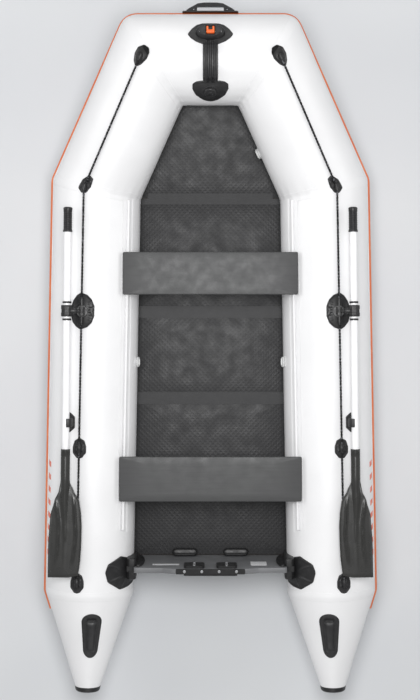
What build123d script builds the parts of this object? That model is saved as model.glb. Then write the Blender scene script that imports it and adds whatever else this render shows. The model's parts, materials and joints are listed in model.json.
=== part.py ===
from build123d import *
import os
from math import asin, cos, degrees, pi, radians, sin, sqrt, tan

# Inflatable motor dinghy: two splayed side tubes with tail cones, a raised bow tube, a boarded
# floor over an inflated keel, a plywood transom, two sliding seats, a lifeline and a pair of oars.
# Millimetres. +Y points to the bow, +X to starboard, +Z up. The boat stands on the plane Z = 0,
# and the origin is the middle of its length and beam on that plane.

# Hull
TUBE_R = 212.5          # inflated radius of every tube
FABRIC = 3.0            # wall that stands for the coated fabric with its seams
SIDE_X = 568.0          # side tube's centre line from the middle plane, at Y = 0
SPLAY = 1.044           # degrees that each side tube opens towards the stern
CONE_Y = -1176.0        # where the tail cone starts
CONE_END_Y = -1640.0    # where its fabric ends, in the end cap
CONE_END_R = 59.0
CONE_LIFT = 32.0        # the cone's end lies this much above the tube's centre line
CAP_DEPTH = 20.0        # how far the end cap stands past the fabric
SHOULDER_Y = 784.0      # joint of the side tube and the bow's slanted tube
CORNER_X = 271.0        # joint of the slanted tube and the cross tube
CORNER_Y = 1386.0
BOW_RISE = 152.5        # the cross tube lies this much above the side tubes
SKIN_GAP = 0.2          # glue line between a tube and what is fitted on it
STRAKE_HEIGHT = 70.0
STRAKE_DEPTH = 12.0
STRAKE_END_Y = -1265.0

# Bottom and floor
SHEET = 3.0             # bottom fabric
CHINE = 30.0            # degrees inboard of each tube's lowest line where the bottom joins it
KEEL_R = 44.0
KEEL_GUARD = 1.5
BOW_SLOPE = 9.6         # degrees that the keel and the bow board climb forward
BOARD = 12.0            # plywood of the floor
FLOOR_JOINTS = (751.0, 189.0, -239.0, -642.0)
JOINER_WEB = 4.0
JOINER_FLANGE = 28.0    # reach of a joiner's flange over each board
METAL = 2.0             # wall of the joiners and stringers
FIT = 0.3               # clearance of one board or fitting in another
FLOOR_BOTTOM = KEEL_GUARD + SHEET + 2 * KEEL_R + METAL + 3 * FIT
STRINGER_LENGTH = 1300.0
STRINGER_REACH = 20.0

# Transom
TRANSOM_Y = -1020.0     # its front face at the floor's top
RAKE = 4.0
TRANSOM = 25.0
TRANSOM_INSET = 7.088   # its ends stop this far inboard of the side tubes' skin
TRANSOM_HEIGHT = 304.0  # from the floor's top to its top edge
TRANSOM_DROP = 76.0     # how far it reaches below the floor's top
CLAMP_HALF = 170.0      # half of the level stretch for the motor's clamps
MOTOR_PLATE = (256.0, 150.0, 10.0)
MOTOR_PAD = (98.0, 86.0, 12.0)
MOTOR_PAD_X = 77.5
TOP_STRIP = 330.0
BOLT_R = 4.0
SCREW_R = 2.5
NUT_SINK = 6.8          # the motor plate's nuts lie this deep in it
RETAINER = (121.0, 35.0, 42.0)
RETAINER_X = 126.0
DRAIN_X = 215.0
DRAIN_R = 15.0

# Seats: (centre Y, depth along the boat, names)
SEATS = (("front_seat", 366.0, 203.0), ("rear_seat", -616.0, 214.0))
SEAT_BOARD = 16.0
SEAT_INSET = 143.5      # seat end, inboard of the side tube's centre line
RAIL_ANGLE = -47.5      # degrees from the tube's top, inboard
RAIL_WIDTH = 53.0
RAIL_FRONT = 720.0
RAIL_BACK = -860.0
BEAD_R = 6.0
BEAD_LIFT = 11.0        # the bead's centre above the tube's skin
SEAT_TRAVEL = 150.0     # each way, taken up by play at the beads because the rails splay

# Lifeline and its eyelets
ROPE_R = 5.0
ROPE_OFFSET = 47.0      # outboard of the side tube's centre line
ROPE_LIFT = 6.5         # the rope's centre above the skin
TUNNEL_R = ROPE_R + 0.6
EYELET_YS = (-466.0, -1107.0)
BOW_EYELET_Y = 1391.0
BOW_EYELET_ANGLE = 10.5

# Oars
OAR_Z = 2 * TUBE_R + 39.0
OARLOCK_Y = 184.0
OARLOCK_OUT = 42.353    # swivel, outboard of the side tube's centre line
BOSS_TOP = OAR_Z - 26.0
STEM = 5.0              # how deep the swivel sits in its boss, above the lifeline's tunnel
OAR_ARM = 70.0          # from the oarlock's swivel to the shaft
OAR_SPLAY = 0.59
OAR_FRONT = 490.0       # handle's end forward of the collar
OAR_BACK = 1258.0       # blade's tip aft of the collar
SHAFT_R = 17.0
SHAFT_WALL = 2.0
GRIP_R = 21.0
GRIP_LENGTH = 118.0
BLADE_START = 652.0     # aft of the collar
BLADE_HALF = 80.0
BLADE = 9.0
SPINDLE_R = 8.0
RUN_FIT = 0.06          # radial clearance of a turning pin
HOLDER_Y = -344.0

# Valves
VALVE_Y = -54.0
VALVE_ANGLE = -78.0
BOW_VALVE_Y = 1040.0
BOW_VALVE_ANGLE = -102.0
BARREL_R = 20.0

# Bow fittings
HANDLE_REACH = 62.5     # the carrying handle's front, ahead of the cross tube
HANDLE_HALF = 115.0
HANDLE_THICK = 24.0
EYE_ANGLE = 24.0        # degrees forward of the cross tube's top
STRAP_FROM = 4.5
STRAP_TO = -36.0
TOW_PAD_ANGLE = -54.0

# Stern handles
STERN_HANDLE_Y = -1368.0
STERN_HANDLE = (217.0, 99.0)


class Run:
    """A straight run of tube between two points of its centre line."""

    def __init__(self, start, end):
        self.start = Vector(*start)
        self.end = Vector(*end)
        self.along = (self.end - self.start).normalized()
        self.out = self.along.cross(Vector(0, 0, 1)).normalized()
        self.up = self.out.cross(self.along)
        self.length = (self.end - self.start).length

    def radial(self, angle):
        """Direction from the centre line at an angle from the top, outboard positive."""
        return self.out * sin(radians(angle)) + self.up * cos(radians(angle))

    def centre(self, y):
        """The centre line's point at a given Y."""
        return self.start + self.along * ((y - self.start.Y) / self.along.Y)

    def skin(self, centre, angle, lift=0.0):
        return centre + self.radial(angle) * (TUBE_R + lift)

    def seat(self, centre, angle, lift=0.0):
        """A plane lying on the skin: X along the tube, Z away from it."""
        return Plane(self.skin(centre, angle, lift), x_dir=self.along, z_dir=self.radial(angle))


def side_point(y):
    return (SIDE_X - y * tan(radians(SPLAY)), y, TUBE_R)


SIDE = Run(side_point(CONE_Y), side_point(SHOULDER_Y))
SLANT = Run(side_point(SHOULDER_Y), (CORNER_X, CORNER_Y, TUBE_R + BOW_RISE))
BOW = Run((CORNER_X, CORNER_Y, TUBE_R + BOW_RISE), (-CORNER_X, CORNER_Y, TUBE_R + BOW_RISE))
SHOULDER_CUT = Plane(SIDE.end, z_dir=SIDE.along + SLANT.along)
CORNER_CUT = Plane(SLANT.end, z_dir=SLANT.along + BOW.along)
MIRROR = Plane.YZ
FLOOR_TOP = FLOOR_BOTTOM + BOARD
OARLOCK = (SIDE.centre(OARLOCK_Y).X + OARLOCK_OUT, OARLOCK_Y)
TRANSOM_HALF = SIDE.centre(TRANSOM_Y).X - TUBE_R - TRANSOM_INSET
KEEL_SLACK = 0.6        # the bottom hangs this much lower under the climbing keel


def ring(run, inner, outer, before=0.0, after=0.0):
    """A round wall along a run, drawn out past either end."""
    frame = Plane(run.start - run.along * before, x_dir=run.out, z_dir=run.along)
    section = Circle(outer) - Circle(inner) if inner else Circle(outer)
    return extrude(frame * section, run.length + before + after)


def mirrored(shape):
    return mirror(shape, about=MIRROR)


def side_wall(inner, outer):
    wall = ring(SIDE, inner, outer, after=outer)
    return split(wall, bisect_by=SHOULDER_CUT, keep=Keep.BOTTOM)


def slant_wall(inner, outer):
    wall = ring(SLANT, inner, outer, before=outer, after=2 * outer)
    wall = split(wall, bisect_by=SHOULDER_CUT, keep=Keep.TOP)
    return split(wall, bisect_by=CORNER_CUT, keep=Keep.BOTTOM)


def bow_wall(inner, outer):
    wall = ring(BOW, inner, outer, before=2 * outer, after=2 * outer)
    wall = split(wall, bisect_by=CORNER_CUT, keep=Keep.TOP)
    normal = CORNER_CUT.z_dir
    port_cut = Plane(BOW.end, z_dir=Vector(normal.X, -normal.Y, -normal.Z))
    return split(wall, bisect_by=port_cut, keep=Keep.BOTTOM)


def cone_solid(extra):
    """The tail cone, with its radius grown by a given amount all over."""
    tail = Vector(*side_point(CONE_END_Y)) + Vector(0, 0, CONE_LIFT)
    base = Plane(SIDE.start, x_dir=SIDE.out, z_dir=SIDE.along)
    end = Plane(tail, x_dir=SIDE.out, z_dir=SIDE.along)
    return loft([base * Circle(TUBE_R + extra), end * Circle(CONE_END_R + extra)], ruled=True)


def cone_wall(low, high):
    return cone_solid(high) - cone_solid(low)


def cone_axis(y):
    """Centre and radius of the tail cone at a given Y."""
    share = (y - CONE_Y) / (CONE_END_Y - CONE_Y)
    x, _, z = side_point(y)
    return Vector(x, y, z + CONE_LIFT * share), TUBE_R + (CONE_END_R - TUBE_R) * share


def prism(seat, outline, depth=70.0):
    return extrude(seat * outline, amount=depth, both=True)


def save(name, *shapes):
    """Write one node: every solid of the given shapes."""
    solids = [solid for shape in shapes for solid in shape.solids()]
    whole = solids[0] if len(solids) == 1 else Compound(solids)
    whole.label = name
    export_step(whole, f"parts/{name}.step")


# ---------------------------------------------------------------- hull

def valve_seats():
    """Seat planes of the starboard side valve and the bow chamber's valve."""
    return (SIDE.seat(SIDE.centre(VALVE_Y), VALVE_ANGLE),
            SLANT.seat(SLANT.centre(BOW_VALVE_Y), BOW_VALVE_ANGLE))


def make_tubes():
    side_valve, bow_valve = valve_seats()
    hole = Circle(BARREL_R + FIT)
    side = side_wall(TUBE_R - FABRIC, TUBE_R) - prism(side_valve, hole, 40)
    slant = slant_wall(TUBE_R - FABRIC, TUBE_R)
    save("starboard_side_tube", side)
    save("port_side_tube", mirrored(side))
    save("starboard_bow_tube", slant - prism(bow_valve, hole, 40))
    save("port_bow_tube", mirrored(slant))
    save("bow_cross_tube", bow_wall(TUBE_R - FABRIC, TUBE_R))
    cone = cone_wall(-FABRIC, 0)
    save("starboard_tail_cone", cone)
    save("port_tail_cone", mirrored(cone))


def make_bulkheads():
    """Fabric discs that part the bow chamber from the side chambers, at the shoulder joints."""
    disc = ring(SIDE, 0, TUBE_R - FABRIC - FIT, after=TUBE_R)
    disc = split(disc, bisect_by=SHOULDER_CUT.offset(-2 * FABRIC), keep=Keep.BOTTOM)
    disc = split(disc, bisect_by=SHOULDER_CUT.offset(-3 * FABRIC), keep=Keep.TOP)
    save("chamber_bulkheads", disc, mirrored(disc))


def make_cone_caps():
    """Moulded cups that close the tail cones."""
    tail = Vector(*side_point(CONE_END_Y)) + Vector(0, 0, CONE_LIFT)
    frame = Plane(tail, x_dir=SIDE.out, z_dir=-SIDE.along)
    cup = extrude(frame * Circle(CONE_END_R + 2.0), CAP_DEPTH)
    cup = fillet(cup.faces().sort_by(Axis.Y)[0].edges(), 9.0)
    plug = extrude(frame.offset(-14.0) * Circle(CONE_END_R - FABRIC - 5.5), 14.0)
    cap = cup + plug
    save("cone_end_caps", cap, mirrored(cap))


def silhouette(run, cut):
    """Where a tube's outermost line meets a joint plane."""
    lean = run.out.dot(cut.z_dir) / run.along.dot(cut.z_dir)
    return cut.origin + run.out * TUBE_R - run.along * (TUBE_R * lean)


def make_strake():
    """Rubber strip round the outside of the tubes, in lengths that meet at the joints."""
    low, high = TUBE_R + SKIN_GAP, TUBE_R + STRAKE_DEPTH
    level = Box(4000, 5000, STRAKE_HEIGHT)
    outer_half = Pos(2000 + SIDE_X, 0, TUBE_R) * level
    side = side_wall(low, high) & outer_half
    tail_zone = Pos(2000 + SIDE_X, (CONE_Y + STRAKE_END_Y) / 2, TUBE_R)
    tail_block = tail_zone * Box(4000, CONE_Y - STRAKE_END_Y, STRAKE_HEIGHT)
    tail = cone_wall(SKIN_GAP, STRAKE_DEPTH) & tail_block
    shoulder, corner = silhouette(SIDE, SHOULDER_CUT), silhouette(BOW, CORNER_CUT)
    middle = (shoulder + corner) * 0.5
    lie = Plane(middle, x_dir=corner - shoulder, z_dir=(corner - shoulder).cross(SLANT.out))
    slant = slant_wall(low, high) & (lie.location * Box(1400, 120, STRAKE_HEIGHT))
    front = Pos(0, CORNER_Y + 1000, TUBE_R + BOW_RISE) * Box(4000, 2000, STRAKE_HEIGHT)
    bow = bow_wall(low, high) & front
    save("rubbing_strake", side, mirrored(side), tail, mirrored(tail), slant, mirrored(slant), bow)


# ---------------------------------------------------------------- bottom and floor

def keel_line(y):
    """Underside of the bottom fabric on the middle plane."""
    return KEEL_GUARD + max(0.0, y - SHOULDER_Y) * tan(radians(BOW_SLOPE))


def bottom_section(y, half, edge_z, keel_z):
    """Cross-section of the bottom fabric at one station."""
    lower = [(half, edge_z), (46, keel_z + 14), (26, keel_z + 3)]
    under = [(-x, z) for x, z in lower] + [(0, keel_z)] + lower[::-1]
    upper = [(x, z + SHEET) for x, z in reversed(under)]
    points = [(x, y, z) for x, z in under + upper]
    return make_face(Polyline(*points, close=True))


def chine(run, y):
    """Half-width and height where the bottom joins a tube, a little inside the skin."""
    point = run.skin(run.centre(y), CHINE - 180.0)
    return point.X + 24.0, point.Z + 1.5


def tubes_solid(grow):
    """The outside of the starboard tubes and the cross tube, to cut things clear of them."""
    return [side_wall(0, TUBE_R + grow), slant_wall(0, TUBE_R + grow), bow_wall(0, TUBE_R + grow)]


def clear_of_tubes(shape, grow):
    for tube in tubes_solid(grow):
        shape = shape - tube - mirrored(tube)
    return shape


def make_bottom():
    aft = TRANSOM_Y + 10.0
    stations = [(aft, *chine(SIDE, aft)), (SHOULDER_Y, *chine(SIDE, SHOULDER_Y)),
                (SHOULDER_Y + 60.0, *chine(SLANT, SHOULDER_Y + 60.0)),
                (CORNER_Y - 100.0, *chine(SLANT, CORNER_Y - 100.0))]
    sections = []
    for y, half, z in stations:
        slack = KEEL_SLACK if y > SHOULDER_Y else 0.0
        sections.append(bottom_section(y, half, z, keel_line(y) - slack))
    y, half, z = stations[-1]
    sections.append(bottom_section(CORNER_Y - 30.0, half - 30.0, z + 8.0, BOW_RISE + 6.0))
    sheet = loft(sections, ruled=True)
    save("bottom_sheet", clear_of_tubes(sheet, FIT).solids().sort_by(SortBy.VOLUME)[-1])


def make_keel():
    rise = tan(radians(BOW_SLOPE))
    z = KEEL_GUARD + SHEET + FIT + KEEL_R
    climb = 430.0
    path = FilletPolyline((0, TRANSOM_Y + 12, z), (0, SHOULDER_Y, z),
                          (0, SHOULDER_Y + climb, z + 4.0 + climb * rise), radius=400)
    tube = sweep(Plane(path @ 0, x_dir=(1, 0, 0), z_dir=path % 0) * Circle(KEEL_R), path=path)
    ratio = tube.volume / (pi * KEEL_R ** 2 * path.length)
    print("keel volume over section times length", round(ratio, 5))
    save("keel_tube", tube)
    guard_length = SHOULDER_Y - TRANSOM_Y - 60.0
    thick = KEEL_GUARD - FIT
    save("keel_guard", Pos(0, (SHOULDER_Y + TRANSOM_Y) / 2, thick / 2) * Box(40, guard_length, thick))


def floor_half(y):
    """Half-width of the floor, stringers included, beside the swell of the tubes."""
    level = FLOOR_TOP + METAL + FIT
    swell = sqrt(TUBE_R ** 2 - (TUBE_R - level) ** 2)
    return SIDE.centre(y).X - swell / cos(radians(SPLAY)) - 1.0


def level_board(front, back):
    inset = METAL + FIT
    corners = [(floor_half(front) - inset, front), (floor_half(back) - inset, back)]
    outline = corners + [(-x, y) for x, y in corners[::-1]]
    return extrude(Plane.XY.offset(FLOOR_BOTTOM) * make_face(Polyline(*outline, close=True)), BOARD)


def bow_board_plane():
    """Underside of the bow board, which climbs forward from the first joint."""
    slope = radians(BOW_SLOPE)
    start = FLOOR_JOINTS[0] + JOINER_WEB / 2 + FIT + BOARD * sin(slope)
    return Plane((0, start, FLOOR_BOTTOM), x_dir=(1, 0, 0), z_dir=(0, -sin(slope), cos(slope)))


def make_floor():
    gap = JOINER_WEB / 2 + FIT
    ends = [y for joint in FLOOR_JOINTS for y in (joint + gap, joint - gap)][1:] + [TRANSOM_Y + 3.0]
    for number in range(4):
        save(f"floor_board_{number + 2}", level_board(ends[2 * number], ends[2 * number + 1]))
    tilted = bow_board_plane()
    start = tilted.origin.Y
    half, reach = floor_half(start) - 14.0, (CORNER_Y - 136.0 - start) / cos(radians(BOW_SLOPE))
    tip = CORNER_X - 127.0
    outline = Polyline((half, 0), (half, 12), (tip, reach), (-tip, reach), (-half, 12), (-half, 0), close=True)
    board = extrude(tilted * make_face(outline), BOARD)
    uprights = board.edges().filter_by(Axis((0, 0, 0), tilted.z_dir))
    board = fillet(uprights.group_by(Axis.Y)[-1], 25.0)
    save("floor_board_1", clear_of_tubes(board, 1.0).solids().sort_by(SortBy.VOLUME)[-1])


def make_joiners():
    """H-shaped strips that lock the boards' meeting edges."""
    joiners = []
    for number, joint in enumerate(FLOOR_JOINTS):
        half = floor_half(joint) - STRINGER_REACH - 3.0
        flange = 2 * JOINER_FLANGE + JOINER_WEB
        shape = Pos(0, joint, FLOOR_BOTTOM + BOARD / 2) * Box(2 * half, JOINER_WEB, BOARD + 2 * FIT)
        levels = (-FIT - METAL / 2, BOARD + FIT + METAL / 2)
        for level in levels:
            if number:
                shape = shape + Pos(0, joint, FLOOR_BOTTOM + level) * Box(2 * half, flange, METAL)
            else:
                aft_spot = Pos(0, joint - flange / 4 + JOINER_WEB / 2, FLOOR_BOTTOM + level)
                shape = shape + aft_spot * Box(2 * half, flange / 2, METAL)
                fore_spot = Pos(0, flange / 4 - JOINER_WEB, level)
                fore_plate = fore_spot * Box(2 * half - 70, flange / 2, METAL)
                shape = shape + bow_board_plane().location * fore_plate
        joiners.append(shape)
    save("floor_joiners", *joiners)


def make_stringers():
    """Channels that clip over the floor's side edges."""
    front = FLOOR_JOINTS[0] - 60.0
    corner = Vector(floor_half(front), front, FLOOR_BOTTOM - METAL - FIT)
    frame = Plane(corner, x_dir=SIDE.out, z_dir=-SIDE.along)
    tall = BOARD + 2 * (METAL + FIT)
    outside = Pos(-STRINGER_REACH / 2, tall / 2) * Rectangle(STRINGER_REACH, tall)
    inside = Pos(-STRINGER_REACH / 2 - METAL, tall / 2) * Rectangle(STRINGER_REACH, BOARD + 2 * FIT)
    channel = extrude(frame * (outside - inside), STRINGER_LENGTH)
    save("floor_stringers", channel, mirrored(channel))


# ---------------------------------------------------------------- transom

def transom_frame():
    """X to port, Y up the board, Z forward out of its front face."""
    forward = Vector(0, cos(radians(RAKE)), sin(radians(RAKE)))
    return Plane((0, TRANSOM_Y, FLOOR_TOP), x_dir=(-1, 0, 0), z_dir=forward)


def transom_outline():
    ends = TRANSOM_HEIGHT - 19.0
    top = [(CLAMP_HALF, TRANSOM_HEIGHT), (CLAMP_HALF + 60, ends), (TRANSOM_HALF, ends)]
    points = [(TRANSOM_HALF, -TRANSOM_DROP + 30), (TRANSOM_HALF - 40, -TRANSOM_DROP)]
    right = points[::-1] + top[::-1]
    outline = right + [(-x, y) for x, y in right[::-1]]
    face = make_face(Polyline(*outline, close=True))
    return fillet([v for v in face.vertices() if v.Y > 0], 14.0)


def bolt_places():
    """Motor plate bolts, in the transom's frame."""
    rise = TRANSOM_HEIGHT - 6.0 - MOTOR_PAD[1]
    return [(side * MOTOR_PAD_X, rise + level) for side in (-1, 1) for level in (18.0, MOTOR_PAD[1] - 18.0)]


def screw_places():
    step = TOP_STRIP / 4
    return [(-1.5 + n) * step for n in range(4)]


def make_transom():
    frame = transom_frame()
    drill = [Pos(x, y) * Circle(BOLT_R + FIT / 2) for x, y in bolt_places()]
    drain = Pos(-DRAIN_X, -44.0) * Circle(DRAIN_R + 5.0 + FIT)
    board = extrude(frame * transom_outline(), -TRANSOM)
    board = board - [prism(frame, hole) for hole in drill + [drain]]
    top_middle = frame.from_local_coords(Vector(0, TRANSOM_HEIGHT, -TRANSOM / 2))
    strip_frame = Plane(top_middle, x_dir=(1, 0, 0), z_dir=frame.y_dir)
    strip_outline = RectangleRounded(TOP_STRIP, TRANSOM + 1, 5)
    screws, strip = [], extrude(strip_frame.offset(SKIN_GAP) * strip_outline, 3.0)
    for x in screw_places():
        place = strip_frame.location * Pos(x, 0, 0)
        hole = place * Cylinder(SCREW_R + FIT / 2, 60)
        strip, board = strip - hole, board - hole
        head = Pos(0, 0, 3.0 + 2 * SKIN_GAP) * Cylinder(7.0, 2.5, align=(Align.CENTER, Align.CENTER, Align.MIN))
        head = fillet(head.edges().sort_by(Axis.Z)[-1], 1.6)
        shank = Pos(0, 0, 3.2) * Cylinder(SCREW_R, 24, align=(Align.CENTER, Align.CENTER, Align.MAX))
        screws.append(place * (head + shank + Pos(0, 0, 3.2) * Cylinder(SCREW_R, 1)))
    save("transom_board", board)

    width, height, thick = MOTOR_PLATE
    outline = Pos(0, TRANSOM_HEIGHT - 6 - height / 2) * RectangleRounded(width, height, 12)
    outer = extrude(frame.offset(-TRANSOM - SKIN_GAP) * outline, -thick)
    outer = outer - [prism(frame, hole) for hole in drill]
    sunk = frame.offset(-TRANSOM - SKIN_GAP - thick)
    outer = outer - [extrude(sunk * (Pos(x, y) * Circle(9.0)), NUT_SINK) for x, y in bolt_places()]
    pads, wide, tall = [], MOTOR_PAD[0], MOTOR_PAD[1]
    for side in (-1, 1):
        shape = Pos(side * MOTOR_PAD_X, TRANSOM_HEIGHT - 6 - tall / 2) * RectangleRounded(wide, tall, 14)
        pad = extrude(frame.offset(SKIN_GAP) * shape, MOTOR_PAD[2])
        pads.append(pad - [prism(frame, hole) for hole in drill])
    save("motor_plates", outer, strip, *pads)

    length = TRANSOM + MOTOR_PLATE[2] + MOTOR_PAD[2] + 3 * SKIN_GAP - NUT_SINK
    for x, y in bolt_places():
        spot = frame.location * Pos(x, y, MOTOR_PAD[2] + 2 * SKIN_GAP)
        head = Cylinder(8.0, 5, align=(Align.CENTER, Align.CENTER, Align.MIN))
        shank = Cylinder(BOLT_R, length, align=(Align.CENTER, Align.CENTER, Align.MAX))
        nut = Pos(0, 0, -length) * extrude(RegularPolygon(7.5, 6), FIT - NUT_SINK)
        screws.append(spot * (head + shank + nut))
    save("transom_fasteners", *screws)


def make_drain():
    frame = transom_frame()
    spot = frame.location * Pos(-DRAIN_X, -44.0, 0)
    low = (Align.CENTER, Align.CENTER, Align.MIN)
    high = (Align.CENTER, Align.CENTER, Align.MAX)
    body = Pos(0, 0, SKIN_GAP) * Cylinder(DRAIN_R + 10, 2.5, align=low)
    body = body + Pos(0, 0, 1.0) * Cylinder(DRAIN_R + 5, TRANSOM + 4, align=high)
    body = body + Pos(0, 0, -TRANSOM - SKIN_GAP) * Cylinder(DRAIN_R + 12, 3, align=high)
    body = body - Cylinder(DRAIN_R, 100)
    plug = Pos(0, 0, -TRANSOM - 3 - SKIN_GAP - FIT) * Cylinder(DRAIN_R + 6, 6, align=high)
    plug = plug + Pos(0, 0, -TRANSOM - 8) * Cylinder(DRAIN_R - FIT, 18, align=low)
    plug = plug + Pos(0, 0, -TRANSOM - 13) * Box(2 * DRAIN_R, 5, 8)
    save("drain_body", spot * body)
    save("drain_plug", spot * plug)


def make_retainers():
    """Rubber blocks that hold the floor's aft edge down."""
    long, deep, tall = RETAINER
    y = TRANSOM_Y + deep / 2 + 0.5
    blocks = []
    for side in (-1, 1):
        block = extrude(Pos(side * RETAINER_X, y, FLOOR_TOP + FIT) * SlotOverall(long, deep), tall)
        blocks.append(fillet(block.faces().sort_by(Axis.Z)[-1].edges(), 6.0))
    save("floor_retainers", *blocks)


def make_transom_holders():
    """Rubber sockets glued on the tubes, which take the transom's ends."""
    frame = transom_frame()
    centre = SIDE.centre(TRANSOM_Y - 48.0)
    seat = SIDE.seat(centre, -54.0)
    hexagon = Polyline((78, 30), (40, 100), (-40, 100), (-78, 30), (-60, -88), (60, -88), close=True)
    outline = fillet(make_face(hexagon).vertices(), 16)
    pad = prism(seat, outline) & ring(SIDE, TUBE_R + SKIN_GAP, TUBE_R + 5.0)
    inner, outer = TRANSOM_HALF - 10.0, TRANSOM_HALF + 38.0
    block = frame.location * Pos(-(inner + outer) / 2, 160, -12.5) * Box(outer - inner, 200, 104)
    block = fillet(block.edges().filter_by(Axis(frame.origin, frame.z_dir)), 12)
    cup_x = TRANSOM_HALF - 20.0
    cup = extrude(frame.offset(FIT) * (Pos(-cup_x, 150) * Ellipse(27, 112)), 9.0)
    space = Pos(0, 100) * Rectangle(2 * TRANSOM_HALF + 2 * FIT, 600)
    board = extrude(frame.offset(FIT) * space, -TRANSOM - 2 * FIT)
    tube = ring(SIDE, 0, TUBE_R + SKIN_GAP)
    holder = (pad + block + cup) - board - tube
    holder = holder.solids().sort_by(SortBy.VOLUME)[-1]
    save("transom_holders", holder, mirrored(holder))


# ---------------------------------------------------------------- seats

def bead_frame(y):
    """Across the rail: X outboard, Y up, Z aft, at the bead's centre."""
    origin = SIDE.skin(SIDE.centre(y), RAIL_ANGLE, BEAD_LIFT)
    return Plane(origin, x_dir=SIDE.out, z_dir=-SIDE.along)


def make_rails():
    """Glued strips with a round bead that the seats' runners hook over."""
    length = RAIL_FRONT - RAIL_BACK
    seat = SIDE.seat(SIDE.centre((RAIL_FRONT + RAIL_BACK) / 2), RAIL_ANGLE)
    strip = prism(seat, Rectangle(length, RAIL_WIDTH)) & ring(SIDE, TUBE_R + SKIN_GAP, TUBE_R + 2.2)
    frame = bead_frame(RAIL_FRONT)
    stalk = Rot(0, 0, -RAIL_ANGLE) * Pos(0, -BEAD_LIFT / 2) * Rectangle(4, BEAD_LIFT)
    bead = extrude(frame * (Circle(BEAD_R) + stalk), length) - ring(SIDE, 0, TUBE_R + SKIN_GAP)
    rail = strip + bead
    save("seat_rails", rail, mirrored(rail))


def make_seats():
    shift = SEAT_TRAVEL * tan(radians(SPLAY))
    lift = BEAD_R + 10.0
    edge = BEAD_LIFT - 6.0
    for name, y, depth in SEATS:
        half = SIDE.centre(y).X - SEAT_INSET
        frame = bead_frame(y + (depth - 30) / 2)
        tail = (18.0 * sin(radians(-RAIL_ANGLE)) - edge) / cos(radians(RAIL_ANGLE))
        hook = [(-20, lift), (18, lift), (18, tail + 1.5), (-8, -17.4), (-20, -8)]
        groove = SlotOverall(2 * (BEAD_R + 0.4 + shift), 2 * (BEAD_R + 0.4))
        mouth = Rot(0, 0, -RAIL_ANGLE) * Pos(0, -12) * Rectangle(2 * (2.6 + shift), 24)
        section = make_face(Polyline(*hook, close=True)) - groove - mouth
        runner = extrude(frame * section, depth - 30)
        runner = runner.solids().sort_by(SortBy.VOLUME)[-1]
        save(f"{name}_runners", runner, mirrored(runner))
        bottom = frame.origin.Z + lift
        board = Pos(0, y, bottom + SEAT_BOARD / 2) * Box(2 * half, depth, SEAT_BOARD)
        board = fillet(board.edges().filter_by(Axis.Z), 12)
        board = fillet(board.faces().sort_by(Axis.Z)[-1].edges(), 3)
        save(f"{name}_board", board)


# ---------------------------------------------------------------- lifeline

def rope_point(y):
    """The rope's centre beside the side tube's crest."""
    angle = degrees(asin(ROPE_OFFSET / (TUBE_R + ROPE_LIFT)))
    return SIDE.skin(SIDE.centre(y), angle, ROPE_LIFT)


def rope_ends():
    """Corner at the shoulder, and the rope's end in the bow eyelet."""
    beside = rope_point(SHOULDER_Y)
    past = SHOULDER_CUT.to_local_coords(beside).Z
    shoulder = beside - SIDE.along * (past / SIDE.along.dot(SHOULDER_CUT.z_dir))
    bow = SLANT.skin(SLANT.centre(BOW_EYELET_Y), BOW_EYELET_ANGLE, ROPE_LIFT)
    return shoulder, bow


def make_lifelines():
    shoulder, bow = rope_ends()
    tail = rope_point(EYELET_YS[-1] - 16.0)
    path = FilletPolyline(tail, shoulder, bow, radius=60)
    rope = sweep(Plane(path @ 0, z_dir=path % 0) * Circle(ROPE_R), path=path)
    print("lifeline length", round(path.length, 1), "radius 60",
          "volume ratio", round(rope.volume / (pi * ROPE_R ** 2 * path.length), 5))
    save("starboard_lifeline", rope)
    save("port_lifeline", mirrored(rope))


def eyelet(centre, direction, seat, outline, walls, blind=0):
    """A glued patch with a hump that the rope passes through, or ends in."""
    lie = Plane(centre, z_dir=direction)
    hump = lie.location * Cylinder(12.0, 46)
    hump = fillet(hump.edges(), 5)
    pad = None
    for wall in walls:
        piece = prism(seat, outline) & wall
        pad = piece if pad is None else pad + piece
    whole = pad + hump
    bore = Pos(0, 0, blind * 82) * Cylinder(TUNNEL_R, 200)
    return whole - lie.location * bore


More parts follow.
